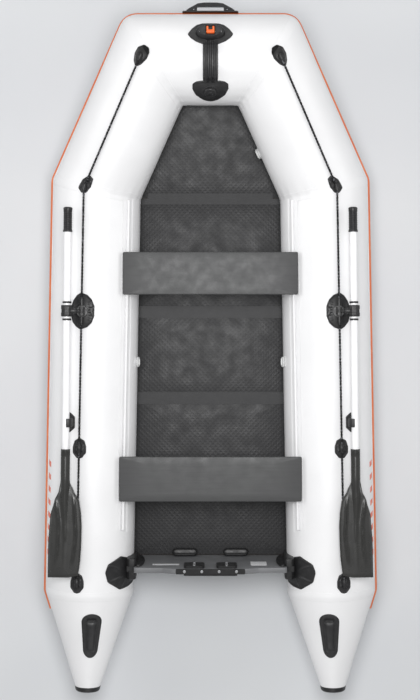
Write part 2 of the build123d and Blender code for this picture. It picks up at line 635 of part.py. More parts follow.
def make_eyelets():
    wall = ring(SIDE, TUBE_R + SKIN_GAP, TUBE_R + 3.5)
    tube = ring(SIDE, 0, TUBE_R + SKIN_GAP)
    angle = degrees(asin(ROPE_OFFSET / (TUBE_R + ROPE_LIFT)))
    corners = [(48, 0), (26, 30), (-18, 33), (-46, 12), (-46, -12), (-18, -33), (26, -30)]
    outline = fillet(make_face(Polyline(*corners, close=True)).vertices(), 9)
    pieces = []
    for y in EYELET_YS:
        last = y == EYELET_YS[-1]
        seat = SIDE.seat(SIDE.centre(y), angle)
        shape = eyelet(rope_point(y), SIDE.along, seat, outline, [wall], blind=1 if last else 0) - tube
        pieces.append(shape)
    shoulder, bow = rope_ends()
    walls = [side_wall(TUBE_R + SKIN_GAP, TUBE_R + 3.5), slant_wall(TUBE_R + SKIN_GAP, TUBE_R + 3.5)]
    corners = [(40, 0), (16, 28), (-16, 28), (-40, 0), (-16, -28), (16, -28)]
    small = fillet(make_face(Polyline(*corners, close=True)).vertices(), 8)
    seat = SIDE.seat(SIDE.centre(SHOULDER_Y + 4.0), angle)
    pad = (prism(seat, small) & walls[0]) + (prism(seat, small) & walls[1])
    hump = Pos(shoulder.X, shoulder.Y, shoulder.Z) * Sphere(17)
    rope_way = FilletPolyline(rope_point(SHOULDER_Y - 120), shoulder, bow, radius=60)
    way = sweep(Plane(rope_way @ 0, z_dir=rope_way % 0) * Circle(TUNNEL_R), path=rope_way)
    knee = (pad + hump) - way
    for tube_part in (side_wall(0, TUBE_R + SKIN_GAP), slant_wall(0, TUBE_R + SKIN_GAP)):
        knee = knee - tube_part
    pieces.append(knee.solids().sort_by(SortBy.VOLUME)[-1])

    bow_walls = [slant_wall(TUBE_R + SKIN_GAP, TUBE_R + 3.5), bow_wall(TUBE_R + SKIN_GAP, TUBE_R + 3.5)]
    flat = Plane(bow + Vector(0, 0, -ROPE_LIFT), x_dir=SLANT.along, z_dir=(0, 0, 1))
    patch = None
    for piece in bow_walls:
        bit = prism(flat, small) & piece
        patch = bit if patch is None else patch + bit
    rope_dir = (bow - shoulder).normalized()
    bulge = Pos(bow.X, bow.Y, bow.Z) * Sphere(17)
    way_in = Cylinder(TUNNEL_R, 60.6, align=(Align.CENTER, Align.CENTER, Align.MIN))
    end_way = Plane(bow - rope_dir * 60, z_dir=rope_dir).location * way_in
    front = (patch + bulge) - end_way
    for tube_part in (slant_wall(0, TUBE_R + SKIN_GAP), bow_wall(0, TUBE_R + SKIN_GAP)):
        front = front - tube_part
    pieces.append(front.solids().sort_by(SortBy.VOLUME)[-1])
    save("lifeline_eyelets", *pieces, *[mirrored(piece) for piece in pieces])


# ---------------------------------------------------------------- oars

def oar_frame():
    """At the collar's centre: X outboard, Y forward along the shaft, Z up."""
    x, y = OARLOCK
    outboard = Vector(cos(radians(OAR_SPLAY)), sin(radians(OAR_SPLAY)), 0)
    return Plane(Vector(x, y, OAR_Z) + outboard * OAR_ARM, x_dir=outboard, z_dir=(0, 0, 1))


def rod(start, end, radius):
    """A round bar between two points."""
    start, end = Vector(*start), Vector(*end)
    return extrude(Plane(start, z_dir=end - start) * Circle(radius), (end - start).length)


def make_oarlock_base():
    x, y = OARLOCK
    low = (Align.CENTER, Align.CENTER, Align.MIN)
    centre = SIDE.centre(y)
    angle = degrees(asin((x - centre.X) / TUBE_R))
    seat = SIDE.seat(centre, angle)
    outline = Polyline((90, 8), (62, -40), (24, -56), (-28, -56), (-62, -42), (-88, 8), (-58, 46), (-20, 58),
                       (22, 58), (60, 44), close=True)
    outline = fillet(make_face(outline).vertices(), 14)
    pad = prism(seat, outline) & ring(SIDE, TUBE_R + SKIN_GAP, TUBE_R + 6.0)
    foot = 2 * TUBE_R - 25.0
    boss = Pos(x, y, foot) * Cylinder(28, BOSS_TOP - foot, align=low)
    ridge = extrude(Plane(rope_point(y), z_dir=SIDE.along) * Circle(10.5), 46, both=True)
    base = (pad + boss + ridge) - ring(SIDE, 0, TUBE_R + SKIN_GAP)
    base = base - extrude(Plane(rope_point(y), z_dir=SIDE.along) * Circle(TUNNEL_R), 200, both=True)
    base = base - Pos(x, y, BOSS_TOP - STEM - FIT) * Cylinder(14 + RUN_FIT, 60, align=low)
    save("oarlock_bases", base, mirrored(base))


def make_oarlock_fork():
    x, y = OARLOCK
    low = (Align.CENTER, Align.CENTER, Align.MIN)
    frame = oar_frame()
    hub = frame.location * Pos(-OAR_ARM, 0, 0)
    stem = Pos(x, y, BOSS_TOP - STEM) * Cylinder(14, STEM + 2.0, align=low)
    disc = Pos(x, y, BOSS_TOP + FIT) * Cylinder(26, 4.5, align=low)
    ears = [hub * Pos(0, side * 14.0, -6.0) * Box(26, 9, 35) for side in (-1, 1)]
    ears = [fillet(ear.edges().filter_by(Axis((0, 0, 0), frame.y_dir)).sort_by(Axis.Z)[-2:], 9) for ear in ears]
    fork = stem + disc + ears[0] + ears[1]
    fork = fork - hub * Rot(90, 0, 0) * Cylinder(5 + RUN_FIT, 80)
    eye = hub * Rot(90, 0, 0) * Cylinder(12.5, 18.4)
    arm = eye + hub * Rot(0, 90, 0) * Cylinder(SPINDLE_R, 42, align=low)
    arm = arm - hub * Rot(90, 0, 0) * Cylinder(5 + RUN_FIT, 80)
    pin = hub * Rot(90, 0, 0) * (Cylinder(5, 42) + Pos(0, 0, 20.5) * Cylinder(8, 3))
    save("starboard_oarlock", fork, arm, pin)
    save("port_oarlock", mirrored(fork), mirrored(arm), mirrored(pin))


def make_oar():
    frame = oar_frame()
    low = (Align.CENTER, Align.CENTER, Align.MIN)
    lay = frame.location
    along = Rot(-90, 0, 0)
    front, back = OAR_FRONT - 12.0, BLADE_START + 95.0
    shaft = lay * Pos(0, -back, 0) * along * (Cylinder(SHAFT_R, front + back, align=low)
                                              - Cylinder(SHAFT_R - SHAFT_WALL, front + back, align=low))
    grip = Cylinder(GRIP_R, GRIP_LENGTH, align=low)
    grip = fillet(grip.edges(), 6) - Cylinder(SHAFT_R + RUN_FIT, GRIP_LENGTH - 12.0 + RUN_FIT, align=low)
    grip = lay * Pos(0, OAR_FRONT - GRIP_LENGTH, 0) * along * grip
    collar = Cylinder(27, 54) - Cylinder(SHAFT_R + RUN_FIT, 60)
    collar = along * collar
    boss = Pos(-SHAFT_R - 3, 0, 0) * Rot(0, -90, 0) * Cylinder(15, 27, align=low)
    way = Pos(-26.0, 0, 0) * Rot(0, -90, 0) * Cylinder(SPINDLE_R + RUN_FIT, 40, align=low)
    collar = (collar + boss) - way - along * Cylinder(SHAFT_R + RUN_FIT, 60)
    collar = lay * collar
    neck = Pos(0, -BLADE_START, 0) * Rot(90, 0, 0) * Cylinder(22, 150, align=low)
    span = OAR_BACK - BLADE_START
    half = [(22, -60), (26, -128), (62, -180), (78, -250), (BLADE_HALF, -330), (78, -430), (70, -span)]
    outline = [(x, y - BLADE_START) for x, y in half]
    outline = outline + [(-x, y) for x, y in outline[::-1]]
    plate = extrude(make_face(Polyline(*outline, close=True)), BLADE / 2, both=True)
    plate = fillet(plate.edges().filter_by(Axis.Z).sort_by(Axis.Y)[:2], 12)
    spine = Pos(0, -BLADE_START - 150, 0) * Rot(90, 0, 0) * Cone(20, 5, 250, align=low)
    spine = spine & Pos(0, 0, 200 - BLADE / 2) * Box(400, 4000, 400)
    bore = Pos(0, -BLADE_START + 5, 0) * Rot(90, 0, 0) * Cylinder(SHAFT_R + RUN_FIT, 101, align=low)
    blade = lay * ((neck + plate + spine) - bore)
    for name, shape in (("shaft", shaft), ("grip", grip), ("collar", collar), ("blade", blade)):
        save(f"starboard_oar_{name}", shape)
        save(f"port_oar_{name}", mirrored(shape))


def make_oar_holders():
    """Glued saddles that the stowed shafts lie in, open outboard."""
    frame = oar_frame()
    centre = SIDE.centre(HOLDER_Y)
    back = (HOLDER_Y - frame.origin.Y) / cos(radians(OAR_SPLAY))
    spot = frame.from_local_coords(Vector(0, back, 0))
    inboard = spot.X - 6.0
    angle = degrees(asin((inboard - centre.X) / TUBE_R))
    seat = SIDE.seat(centre, angle)
    outline = make_face(Polyline((54, 18), (36, -36), (-36, -36), (-54, 18), (-30, 34), (30, 34), close=True))
    pad = prism(seat, fillet(outline.vertices(), 10)) & ring(SIDE, TUBE_R + SKIN_GAP, TUBE_R + 5.0)
    lie = frame.location * Pos(0, back, 0)
    room, foot = SHAFT_R + FIT, 2 * TUBE_R - 45.0 - OAR_Z
    wall = lie * Pos(-room - 12, 0, (foot + 8.0) / 2) * Box(24, 40, 8.0 - foot)
    floor = lie * Pos(-room / 2 + 3, 0, (foot - room) / 2) * Box(room + 6, 40, -room - foot)
    blocks = [block - ring(SIDE, 0, TUBE_R + 5.0) for block in (wall, floor)]
    parts = [pad] + [block.solids().sort_by(SortBy.VOLUME)[-1] for block in blocks]
    save("oar_holders", *parts, *[mirrored(part) for part in parts])


# ---------------------------------------------------------------- valves

def make_valves():
    side_seat, bow_seat = valve_seats()
    low = (Align.CENTER, Align.CENTER, Align.MIN)
    seats = [("starboard", side_seat, SIDE, False), ("port", side_seat, SIDE, True),
             ("bow", bow_seat, SLANT, False)]
    bodies = []
    for name, seat, run, flip in seats:
        flange = prism(seat, Circle(28), 40) & ring(run, TUBE_R + SKIN_GAP, TUBE_R + 4.0)
        at = seat.location
        barrel = at * Pos(0, 0, -28) * Cylinder(BARREL_R, 38, align=low)
        body = (flange + barrel) - at * Pos(0, 0, -30) * Cylinder(BARREL_R - 5, 60, align=low)
        shelf = at * Pos(0, 0, -12) * (Cylinder(BARREL_R, 3, align=low) - Cylinder(9, 3, align=low))
        body = body + shelf
        disc = Pos(0, 0, -15.3) * Cylinder(12, 3, align=low)
        stem = Pos(0, 0, -12.5) * Cylinder(3, 16, align=low)
        poppet = at * (disc + stem + Pos(0, 0, 1.5) * Cylinder(8, 3, align=low))
        top = Pos(0, 0, 10 + FIT) * Cylinder(BARREL_R + 4, 4, align=low)
        skirt = Pos(0, 0, 5.5) * (Cylinder(BARREL_R + 4, 5, align=low) - Cylinder(BARREL_R + FIT, 5, align=low))
        wing = Pos(0, 0, 15.5) * Box(34, 6, 5)
        cap = at * (top + skirt + wing)
        turn = mirrored if flip else (lambda shape: shape)
        bodies.append(turn(body))
        save(f"{name}_valve_cap", turn(cap))
        save(f"{name}_valve_poppet", turn(poppet))
    save("valve_bodies", *bodies)


# ---------------------------------------------------------------- bow and stern fittings

def make_bow_handle():
    """Moulded carrying handle on the nose, over the strake."""
    z = TUBE_R + BOW_RISE
    start = CORNER_Y + TUBE_R + STRAKE_DEPTH + SKIN_GAP
    front = CORNER_Y + TUBE_R + HANDLE_REACH
    half = HANDLE_HALF
    loop = make_face(Polyline((half, start + 4), (half, start + 14), (half - 14, start + 24), (60, front - 4),
                              (30, front), (-30, front), (-60, front - 4), (14 - half, start + 24),
                              (-half, start + 14), (-half, start + 4), close=True))
    opening = Pos(0, start + 19) * RectangleRounded(128, 26, 6)
    holes = [Pos(side * 80, start + 20) * Circle(4) for side in (-1, 1)]
    handle = extrude(Plane.XY.offset(z) * (loop - opening - holes[0] - holes[1]), HANDLE_THICK / 2, both=True)
    flange = Pos(0, start + 3, z) * Box(268, 6, STRAKE_HEIGHT - 6)
    flange = fillet(flange.edges().filter_by(Axis.Y), 16)
    whole = handle + flange
    save("bow_handle", whole)


def bow_seat(angle, lift=0.0):
    return BOW.seat(Vector(0, CORNER_Y, TUBE_R + BOW_RISE), angle, lift)


def make_rope_lock():
    """Bow eye: a glued patch with a hollow housing and its locking lever."""
    seat = bow_seat(EYE_ANGLE)
    half = [(106, 4), (52, -48), (20, -55)]
    points = half + [(-x, y) for x, y in half[::-1]] + [(-50, 40), (-26, 50), (26, 50), (50, 40)]
    patch = fillet(make_face(Polyline(*points, close=True)).vertices(), 12)
    patch = prism(seat, patch) & ring(BOW, TUBE_R + SKIN_GAP, TUBE_R + 5.0)
    at = seat.location
    housing = at * Pos(0, 0, 10) * extrude(Ellipse(68, 38), 22)
    housing = fillet(housing.faces().sort_by(Axis(seat.origin, seat.z_dir))[-1].edges(), 9)
    body = patch + housing + at * Pos(0, 0, -4) * extrude(Ellipse(66, 36), 16)
    body = body - ring(BOW, 0, TUBE_R + SKIN_GAP)
    pocket = at * Pos(0, 2, 22) * Box(44, 46, 40)
    way = at * Pos(0, 0, 20) * Rot(90, 0, 0) * Cylinder(7, 200)
    bolt_hole = at * Pos(0, 12, 25) * Rot(0, 90, 0) * Cylinder(3 + RUN_FIT, 100)
    body = body - pocket - way - bolt_hole
    save("rope_lock_body", body.solids().sort_by(SortBy.VOLUME)[-1])
    prongs = [Pos(side * 14, -6, 26) * Box(10, 26, 7) for side in (-1, 1)]
    bridge = Pos(0, 13, 25) * Box(38, 14, 12)
    lever = prongs[0] + prongs[1] + bridge
    lever = lever - Pos(0, 12, 25) * Rot(0, 90, 0) * Cylinder(3 + RUN_FIT, 100)
    save("rope_lock_lever", at * lever)
    pin = at * Pos(0, 12, 25) * Rot(0, 90, 0) * Cylinder(3, 70)
    save("rope_lock_pin", pin)


def make_bow_strap():
    """Ribbed towing strap over the cross tube, and the patch that it ends in."""
    low, high = TUBE_R + 14.0, TUBE_R + 22.0
    middle = (STRAP_FROM + STRAP_TO) / 2
    wedge_seat = bow_seat(middle)
    reach = TUBE_R * radians(STRAP_FROM - STRAP_TO)
    strap = ring(BOW, low, high) & prism(wedge_seat, Rectangle(72, reach + 30), 90)
    foot_zone = Rectangle(72, 34)
    feet = None
    for angle in (STRAP_FROM, STRAP_TO):
        foot = prism(bow_seat(angle), foot_zone, 60) & ring(BOW, TUBE_R + SKIN_GAP, high)
        feet = foot if feet is None else feet + foot
    ribs = None
    for step in (-20.0, 0.0, 20.0):
        rib = prism(wedge_seat, Pos(step, 0) * Rectangle(8, reach - 30), 90) & ring(BOW, high - 1, high + 3)
        ribs = rib if ribs is None else ribs + rib
    heart = Polyline((82, -46), (84, -20), (70, 18), (34, 58), (0, 70), (-34, 58), (-70, 18), (-84, -20),
                     (-82, -46), (-46, -62), (46, -62), close=True)
    heart = fillet(make_face(heart).vertices(), 14)
    patch_seat = bow_seat(TOW_PAD_ANGLE)
    patch = prism(patch_seat, heart) & ring(BOW, TUBE_R + SKIN_GAP, TUBE_R + 5.5)
    boss = patch_seat.location * Cylinder(28, 12, align=(Align.CENTER, Align.CENTER, Align.MIN))
    whole = strap + feet + ribs + patch + boss - ring(BOW, 0, TUBE_R + SKIN_GAP)
    save("bow_tow_strap", whole)


def make_stern_handles():
    """Grab handles on the tail cones."""
    centre, radius = cone_axis(STERN_HANDLE_Y)
    offset = -22.0
    slope_z = (TUBE_R - CONE_END_R - CONE_LIFT) / (CONE_Y - CONE_END_Y)
    angle = asin(offset / radius)
    origin = centre + SIDE.out * offset + Vector(0, 0, radius * cos(angle))
    normal = Vector(SIDE.out.X * sin(angle), -slope_z * 0.9, cos(angle))
    flat = SIDE.along - normal * (SIDE.along.dot(normal) / normal.length ** 2)
    seat = Plane(origin, x_dir=flat, z_dir=normal)
    long, wide = STERN_HANDLE
    pad = prism(seat, SlotOverall(long, wide), 60) & cone_wall(SKIN_GAP, 5.0)
    bridge = seat.location * Pos(0, 0, 24) * Box(150, 34, 7)
    bridge = fillet(bridge.edges(), 3)
    posts = [seat.location * Pos(side * 66, 0, 12) * Box(18, 34, 26) for side in (-1, 1)]
    whole = (pad + bridge + posts[0] + posts[1]) - cone_solid(SKIN_GAP)
    save("stern_handles", whole, mirrored(whole))


def main():
    os.makedirs("parts", exist_ok=True)
    make_tubes()
    make_bulkheads()
    make_cone_caps()
    make_strake()
    make_bottom()
    make_keel()
    make_floor()
    make_joiners()
    make_stringers()
    make_transom()
    make_drain()
    make_retainers()
    make_transom_holders()
    make_rails()
    make_seats()
    make_lifelines()
    make_eyelets()
    make_oarlock_base()
    make_oarlock_fork()
    make_oar()
    make_oar_holders()
    make_valves()
    make_bow_handle()
    make_rope_lock()
    make_bow_strap()
    make_stern_handles()


main()
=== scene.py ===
import json
from functools import lru_cache
from math import asin, atan2, cos, degrees, exp, hypot, pi, radians, sin, sqrt, tan

import bmesh
import bpy
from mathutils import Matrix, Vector, noise
from mathutils.geometry import tessellate_polygon


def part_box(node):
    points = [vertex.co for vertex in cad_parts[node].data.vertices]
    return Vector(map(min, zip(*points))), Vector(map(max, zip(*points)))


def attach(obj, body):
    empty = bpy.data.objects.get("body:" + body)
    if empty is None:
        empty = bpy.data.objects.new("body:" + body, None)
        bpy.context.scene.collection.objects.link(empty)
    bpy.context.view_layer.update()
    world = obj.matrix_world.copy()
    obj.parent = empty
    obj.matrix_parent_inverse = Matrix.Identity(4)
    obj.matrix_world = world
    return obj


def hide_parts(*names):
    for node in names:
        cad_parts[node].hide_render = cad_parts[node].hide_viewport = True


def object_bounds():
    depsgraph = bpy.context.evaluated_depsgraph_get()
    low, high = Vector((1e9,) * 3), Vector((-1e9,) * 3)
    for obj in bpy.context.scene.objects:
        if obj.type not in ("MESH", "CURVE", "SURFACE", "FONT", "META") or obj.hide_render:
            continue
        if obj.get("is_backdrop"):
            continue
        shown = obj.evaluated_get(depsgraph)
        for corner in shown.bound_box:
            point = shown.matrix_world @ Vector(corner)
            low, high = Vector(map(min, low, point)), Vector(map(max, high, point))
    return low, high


bl_info = {
    "name": "Inflatable dinghy",
    "version": (1, 0, 0),
    "blender": (4, 5, 0),
    "location": "3D View > Sidebar > Dinghy",
    "description": "Builds the visible pieces of an inflatable dinghy round its packed frame",
    "category": "Object",
}

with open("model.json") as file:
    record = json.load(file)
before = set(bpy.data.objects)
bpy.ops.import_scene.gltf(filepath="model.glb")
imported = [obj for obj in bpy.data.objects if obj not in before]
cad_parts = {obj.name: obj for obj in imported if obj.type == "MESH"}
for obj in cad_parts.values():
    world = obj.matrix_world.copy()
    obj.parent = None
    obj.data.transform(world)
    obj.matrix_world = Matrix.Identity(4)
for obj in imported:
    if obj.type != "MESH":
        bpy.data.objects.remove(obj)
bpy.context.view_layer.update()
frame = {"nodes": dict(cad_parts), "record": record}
BODIES = frame["record"]["behaviour"]["bodies"]
BODY_OF = {node: body for body, nodes in BODIES.items() for node in nodes}
SIDES = (("starboard", 1), ("port", -1))

# Lengths below are in millimetres in the boat's own frame: +Y to the bow, +X to starboard, +Z up.
MM = 0.001


def node_box(node):
    """Lowest and highest corner of a frame node, in millimetres."""
    low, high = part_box(node)
    return low / MM, high / MM


# Hull, driven by the cross tube of the bow and the runs that lead to it
BOW_LOW, BOW_HIGH = node_box("bow_cross_tube")
TUBE = (BOW_HIGH.z - BOW_LOW.z) / 2
BOW_Z = (BOW_HIGH.z + BOW_LOW.z) / 2
CORNER = Vector((271.0, (BOW_HIGH.y + BOW_LOW.y) / 2, BOW_Z))
SIDE_X = 568.0
SPLAY = 1.044
SHOULDER_Y = 784.0
CONE_Y = -1176.0
CONE_END_Y = -1640.0
CONE_END = 59.0
CONE_LIFT = 32.0
STRAKE_END_Y = -1265.0
BOW_SLOPE = 9.6
OUTER_BEND = 90.0       # how round the outside of a bow corner is
INNER_BEND = 10.0
SHOULDER_BEND = 55.0
PUCKER = 2.6            # depth of the folds where the fabric turns inwards at a joint
PUCKERS = 25            # folds in a full turn
EASE = 0.9              # how much the fabric strays from a true tube


class Run:
    """A straight run of tube between two points of its centre line."""

    def __init__(self, start, end):
        self.start, self.end = Vector(start), Vector(end)
        self.along = (self.end - self.start).normalized()
        self.out = self.along.cross(Vector((0, 0, 1))).normalized()
        self.up = self.out.cross(self.along)

    def radial(self, angle):
        """Direction away from the centre line at an angle from the top, outboard positive."""
        return self.out * sin(radians(angle)) + self.up * cos(radians(angle))

    def centre(self, y):
        return self.start + self.along * ((y - self.start.y) / self.along.y)

    def skin(self, y, angle, lift=0.0):
        return self.centre(y) + self.radial(angle) * (TUBE + lift)


def side_point(y):
    return Vector((SIDE_X - y * tan(radians(SPLAY)), y, TUBE))


SIDE = Run(side_point(CONE_Y), side_point(SHOULDER_Y))
SLANT = Run(SIDE.end, CORNER)
BOW = Run(CORNER, CORNER * Vector((-1, 1, 1)))
TAIL = side_point(CONE_END_Y) + Vector((0, 0, CONE_LIFT))
SHOULDER_NORMAL = (SIDE.along + SLANT.along).normalized()
CORNER_NORMAL = (SLANT.along + BOW.along).normalized()
BOW_TO_SLANT = BOW.along.rotation_difference(SLANT.along)
SLANT_TO_SIDE = SLANT.along.rotation_difference(SIDE.along)


def side_angle(direction):
    return degrees(atan2(direction.dot(SIDE.out), direction.dot(SIDE.up)))


TWIST = side_angle(SLANT_TO_SIDE @ (BOW_TO_SLANT @ BOW.radial(0)))


def meet(point, direction, origin, normal):
    """Where a line meets a plane."""
    return point + direction * ((origin - point).dot(normal) / direction.dot(normal))


def smooth(value, low=0.0, high=1.0):
    share = min(1.0, max(0.0, (value - low) / (high - low)))
    return share * share * (3 - 2 * share)


def between(a, b, share):
    return a + (b - a) * share


def turn(before, knee, after, radius, steps):
    """Points of a rounded turn at the knee of a line, and how far it reaches from the knee."""
    first, second = (before - knee).normalized(), (after - knee).normalized()
    half = first.angle(second) / 2
    reach = radius / tan(half)
    a, b = knee + first * reach, knee + second * reach
    return [a.lerp(knee, s / steps).lerp(knee.lerp(b, s / steps), s / steps) for s in range(steps + 1)]


def spread(start, end, steps):
    """Points between two others, without them."""
    return [start.lerp(end, (s + 1) / (steps + 1)) for s in range(steps)]


@lru_cache(maxsize=None)
def hull_line(angle):
    """One line along the starboard hull, from the middle of the bow to the tail.

    The angle is from the top, outboard positive, as it is on the side tube. Returns the points,
    the outward direction at each, and the place of the corner, shoulder and cone in them.
    """
    at_bow = BOW.radial(angle - TWIST)
    at_slant = BOW_TO_SLANT @ at_bow
    at_side = SLANT_TO_SIDE @ at_slant
    corner = meet(CORNER + at_bow * TUBE, BOW.along, CORNER, CORNER_NORMAL)
    shoulder = meet(SIDE.end + at_side * TUBE, SIDE.along, SIDE.end, SHOULDER_NORMAL)
    first = CORNER * Vector((0, 1, 1)) + at_bow * TUBE
    cone, last = SIDE.start + at_side * TUBE, TAIL + at_side * CONE_END
    outer = (at_bow + at_slant).normalized().dot((SLANT.along - BOW.along).normalized())
    outside = (at_side + at_slant).normalized().dot((SIDE.along - SLANT.along).normalized())
    bend = between(INNER_BEND, OUTER_BEND, smooth(outer, -1, 1))
    corner_turn = turn(first, corner, shoulder, bend, 10)
    shoulder_turn = turn(corner, shoulder, cone, between(INNER_BEND, SHOULDER_BEND, smooth(outside, -1, 1)), 6)
    cone_turn = turn(shoulder, cone, last, 60.0, 4)
    legs = [
        ([first] + spread(first, corner_turn[0], 8), at_bow, at_bow),
        (corner_turn, at_bow, at_slant),
        (spread(corner_turn[-1], shoulder_turn[0], 18), at_slant, at_slant),
        (shoulder_turn, at_slant, at_side),
        (spread(shoulder_turn[-1], cone_turn[0], 40), at_side, at_side),
        (cone_turn, at_side, at_side),
        (spread(cone_turn[-1], last, 12) + [last], at_side, at_side),
    ]
    points, directions, starts = [], [], []
    for places, start, end in legs:
        starts.append(len(points))
        for count, place in enumerate(places):
            share = count / max(1, len(places) - 1)
            points.append(place)
            directions.append(start.lerp(end, share).normalized())
    marks = {"corner": starts[1] + 5, "shoulder": starts[3] + 3, "cone": starts[5] + 2}
    folds = 0.5 + 0.5 * cos(radians(angle) * PUCKERS)
    shaped = []
    for place, direction in zip(points, directions):
        lift = EASE * noise.noise(place * 0.006)
        for mark, turned in (("corner", outer), ("shoulder", outside)):
            off = (place - points[marks[mark]]).length
            lift -= PUCKER * folds * smooth(-turned, 0.1, 0.9) * exp(-(off / 60.0) ** 2)
        shaped.append(place + direction * lift)
    return shaped, directions, marks


def step_along(angle, mark, distance):
    """Point and outward direction at a distance along a hull line, positive towards the stern."""
    points, directions, marks = hull_line(angle)
    here, way = marks[mark], 1 if distance >= 0 else -1
    left = abs(distance)
    while True:
        leg = (points[here + way] - points[here]).length
        if leg >= left:
            share = left / leg
            break
        left -= leg
        here += way
    direction = directions[here].lerp(directions[here + way], share).normalized()
    return points[here].lerp(points[here + way], share), direction


def hull_at(angle, y):
    """Point and outward direction on a hull line at a given Y."""
    points, directions, _ = hull_line(angle)
    for here in range(len(points) - 1):
        if points[here + 1].y <= y <= points[here].y:
            share = (points[here].y - y) / (points[here].y - points[here + 1].y)
            direction = directions[here].lerp(directions[here + 1], share).normalized()
            return points[here].lerp(points[here + 1], share), direction
    raise RuntimeError(f"no point of the hull at Y {y}")


def hull_lie(angle, y, run=SIDE):
    """Lays a flat shape on the hull: X towards the bow, Y outboard, Z away from the skin."""
    def place(x, across, height):
        point, direction = hull_at(angle + degrees(across / TUBE), y + x * run.along.y)
        return point + direction * height
    return place


def bow_lie(angle):
    """Lays a flat shape on the cross tube: X to starboard, Y aft, Z away from the skin."""
    def place(x, aft, height):
        spot = Vector((x, CORNER.y, BOW_Z))
        return spot + BOW.radial(angle - degrees(aft / TUBE)) * (TUBE + height)
    return place


def square(origin, x_axis, z_axis):
    """A flat place: X and Z as given, Y square to both."""
    z_axis = Vector(z_axis).normalized()
    x_axis = Vector(x_axis)
    x_axis = (x_axis - z_axis * x_axis.dot(z_axis)).normalized()
    y_axis = z_axis.cross(x_axis)
    def place(x, y, z):
        return Vector(origin) + x_axis * x + y_axis * y + z_axis * z
    return place


def shifted(place, x=0.0, y=0.0, z=0.0):
    return lambda u, v, w: place(u + x, v + y, w + z)


# ---------------------------------------------------------------- outlines and shapes

def rounded(corners, radius, step=4.0):
    """A closed outline with every corner rounded, as points about a step apart."""
    knees = [Vector((x, y, 0)) for x, y in corners]
    outline = []
    for number, knee in enumerate(knees):
        before, after = knees[number - 1], knees[(number + 1) % len(knees)]
        first, second = (before - knee), (after - knee)
        half = first.angle(second) / 2
        room = 0.48 * min(first.length, second.length) * tan(half)
        size = min(radius[number] if isinstance(radius, (list, tuple)) else radius, room)
        steps = max(2, int(size * (pi - 2 * half) / step) + 1)
        arc = turn(before, knee, after, max(size, 0.05), steps)
        if outline:
            gap = (arc[0] - outline[-1]).length
            outline += spread(outline[-1], arc[0], max(0, int(gap / step)))
        outline += arc
    gap = (outline[0] - outline[-1]).length
    outline += spread(outline[-1], outline[0], max(0, int(gap / step)))
    return [(p.x, p.y) for p in outline]


def block_outline(long, wide, radius, step=4.0):
    x, y = long / 2, wide / 2
    return rounded([(x, y), (-x, y), (-x, -y), (x, -y)], radius, step)


def facing_in(outline):
    """Unit directions into a closed outline, and whether it runs anticlockwise."""
    area = sum(a[0] * b[1] - b[0] * a[1] for a, b in zip(outline, outline[1:] + outline[:1])) / 2
    sign, inward = (1 if area > 0 else -1), []
    for number in range(len(outline)):
        before, after = outline[number - 1], outline[(number + 1) % len(outline)]
        x, y = after[0] - before[0], after[1] - before[1]
        size = hypot(x, y) or 1.0
        inward.append((-y * sign / size, x * sign / size))
    return inward, sign


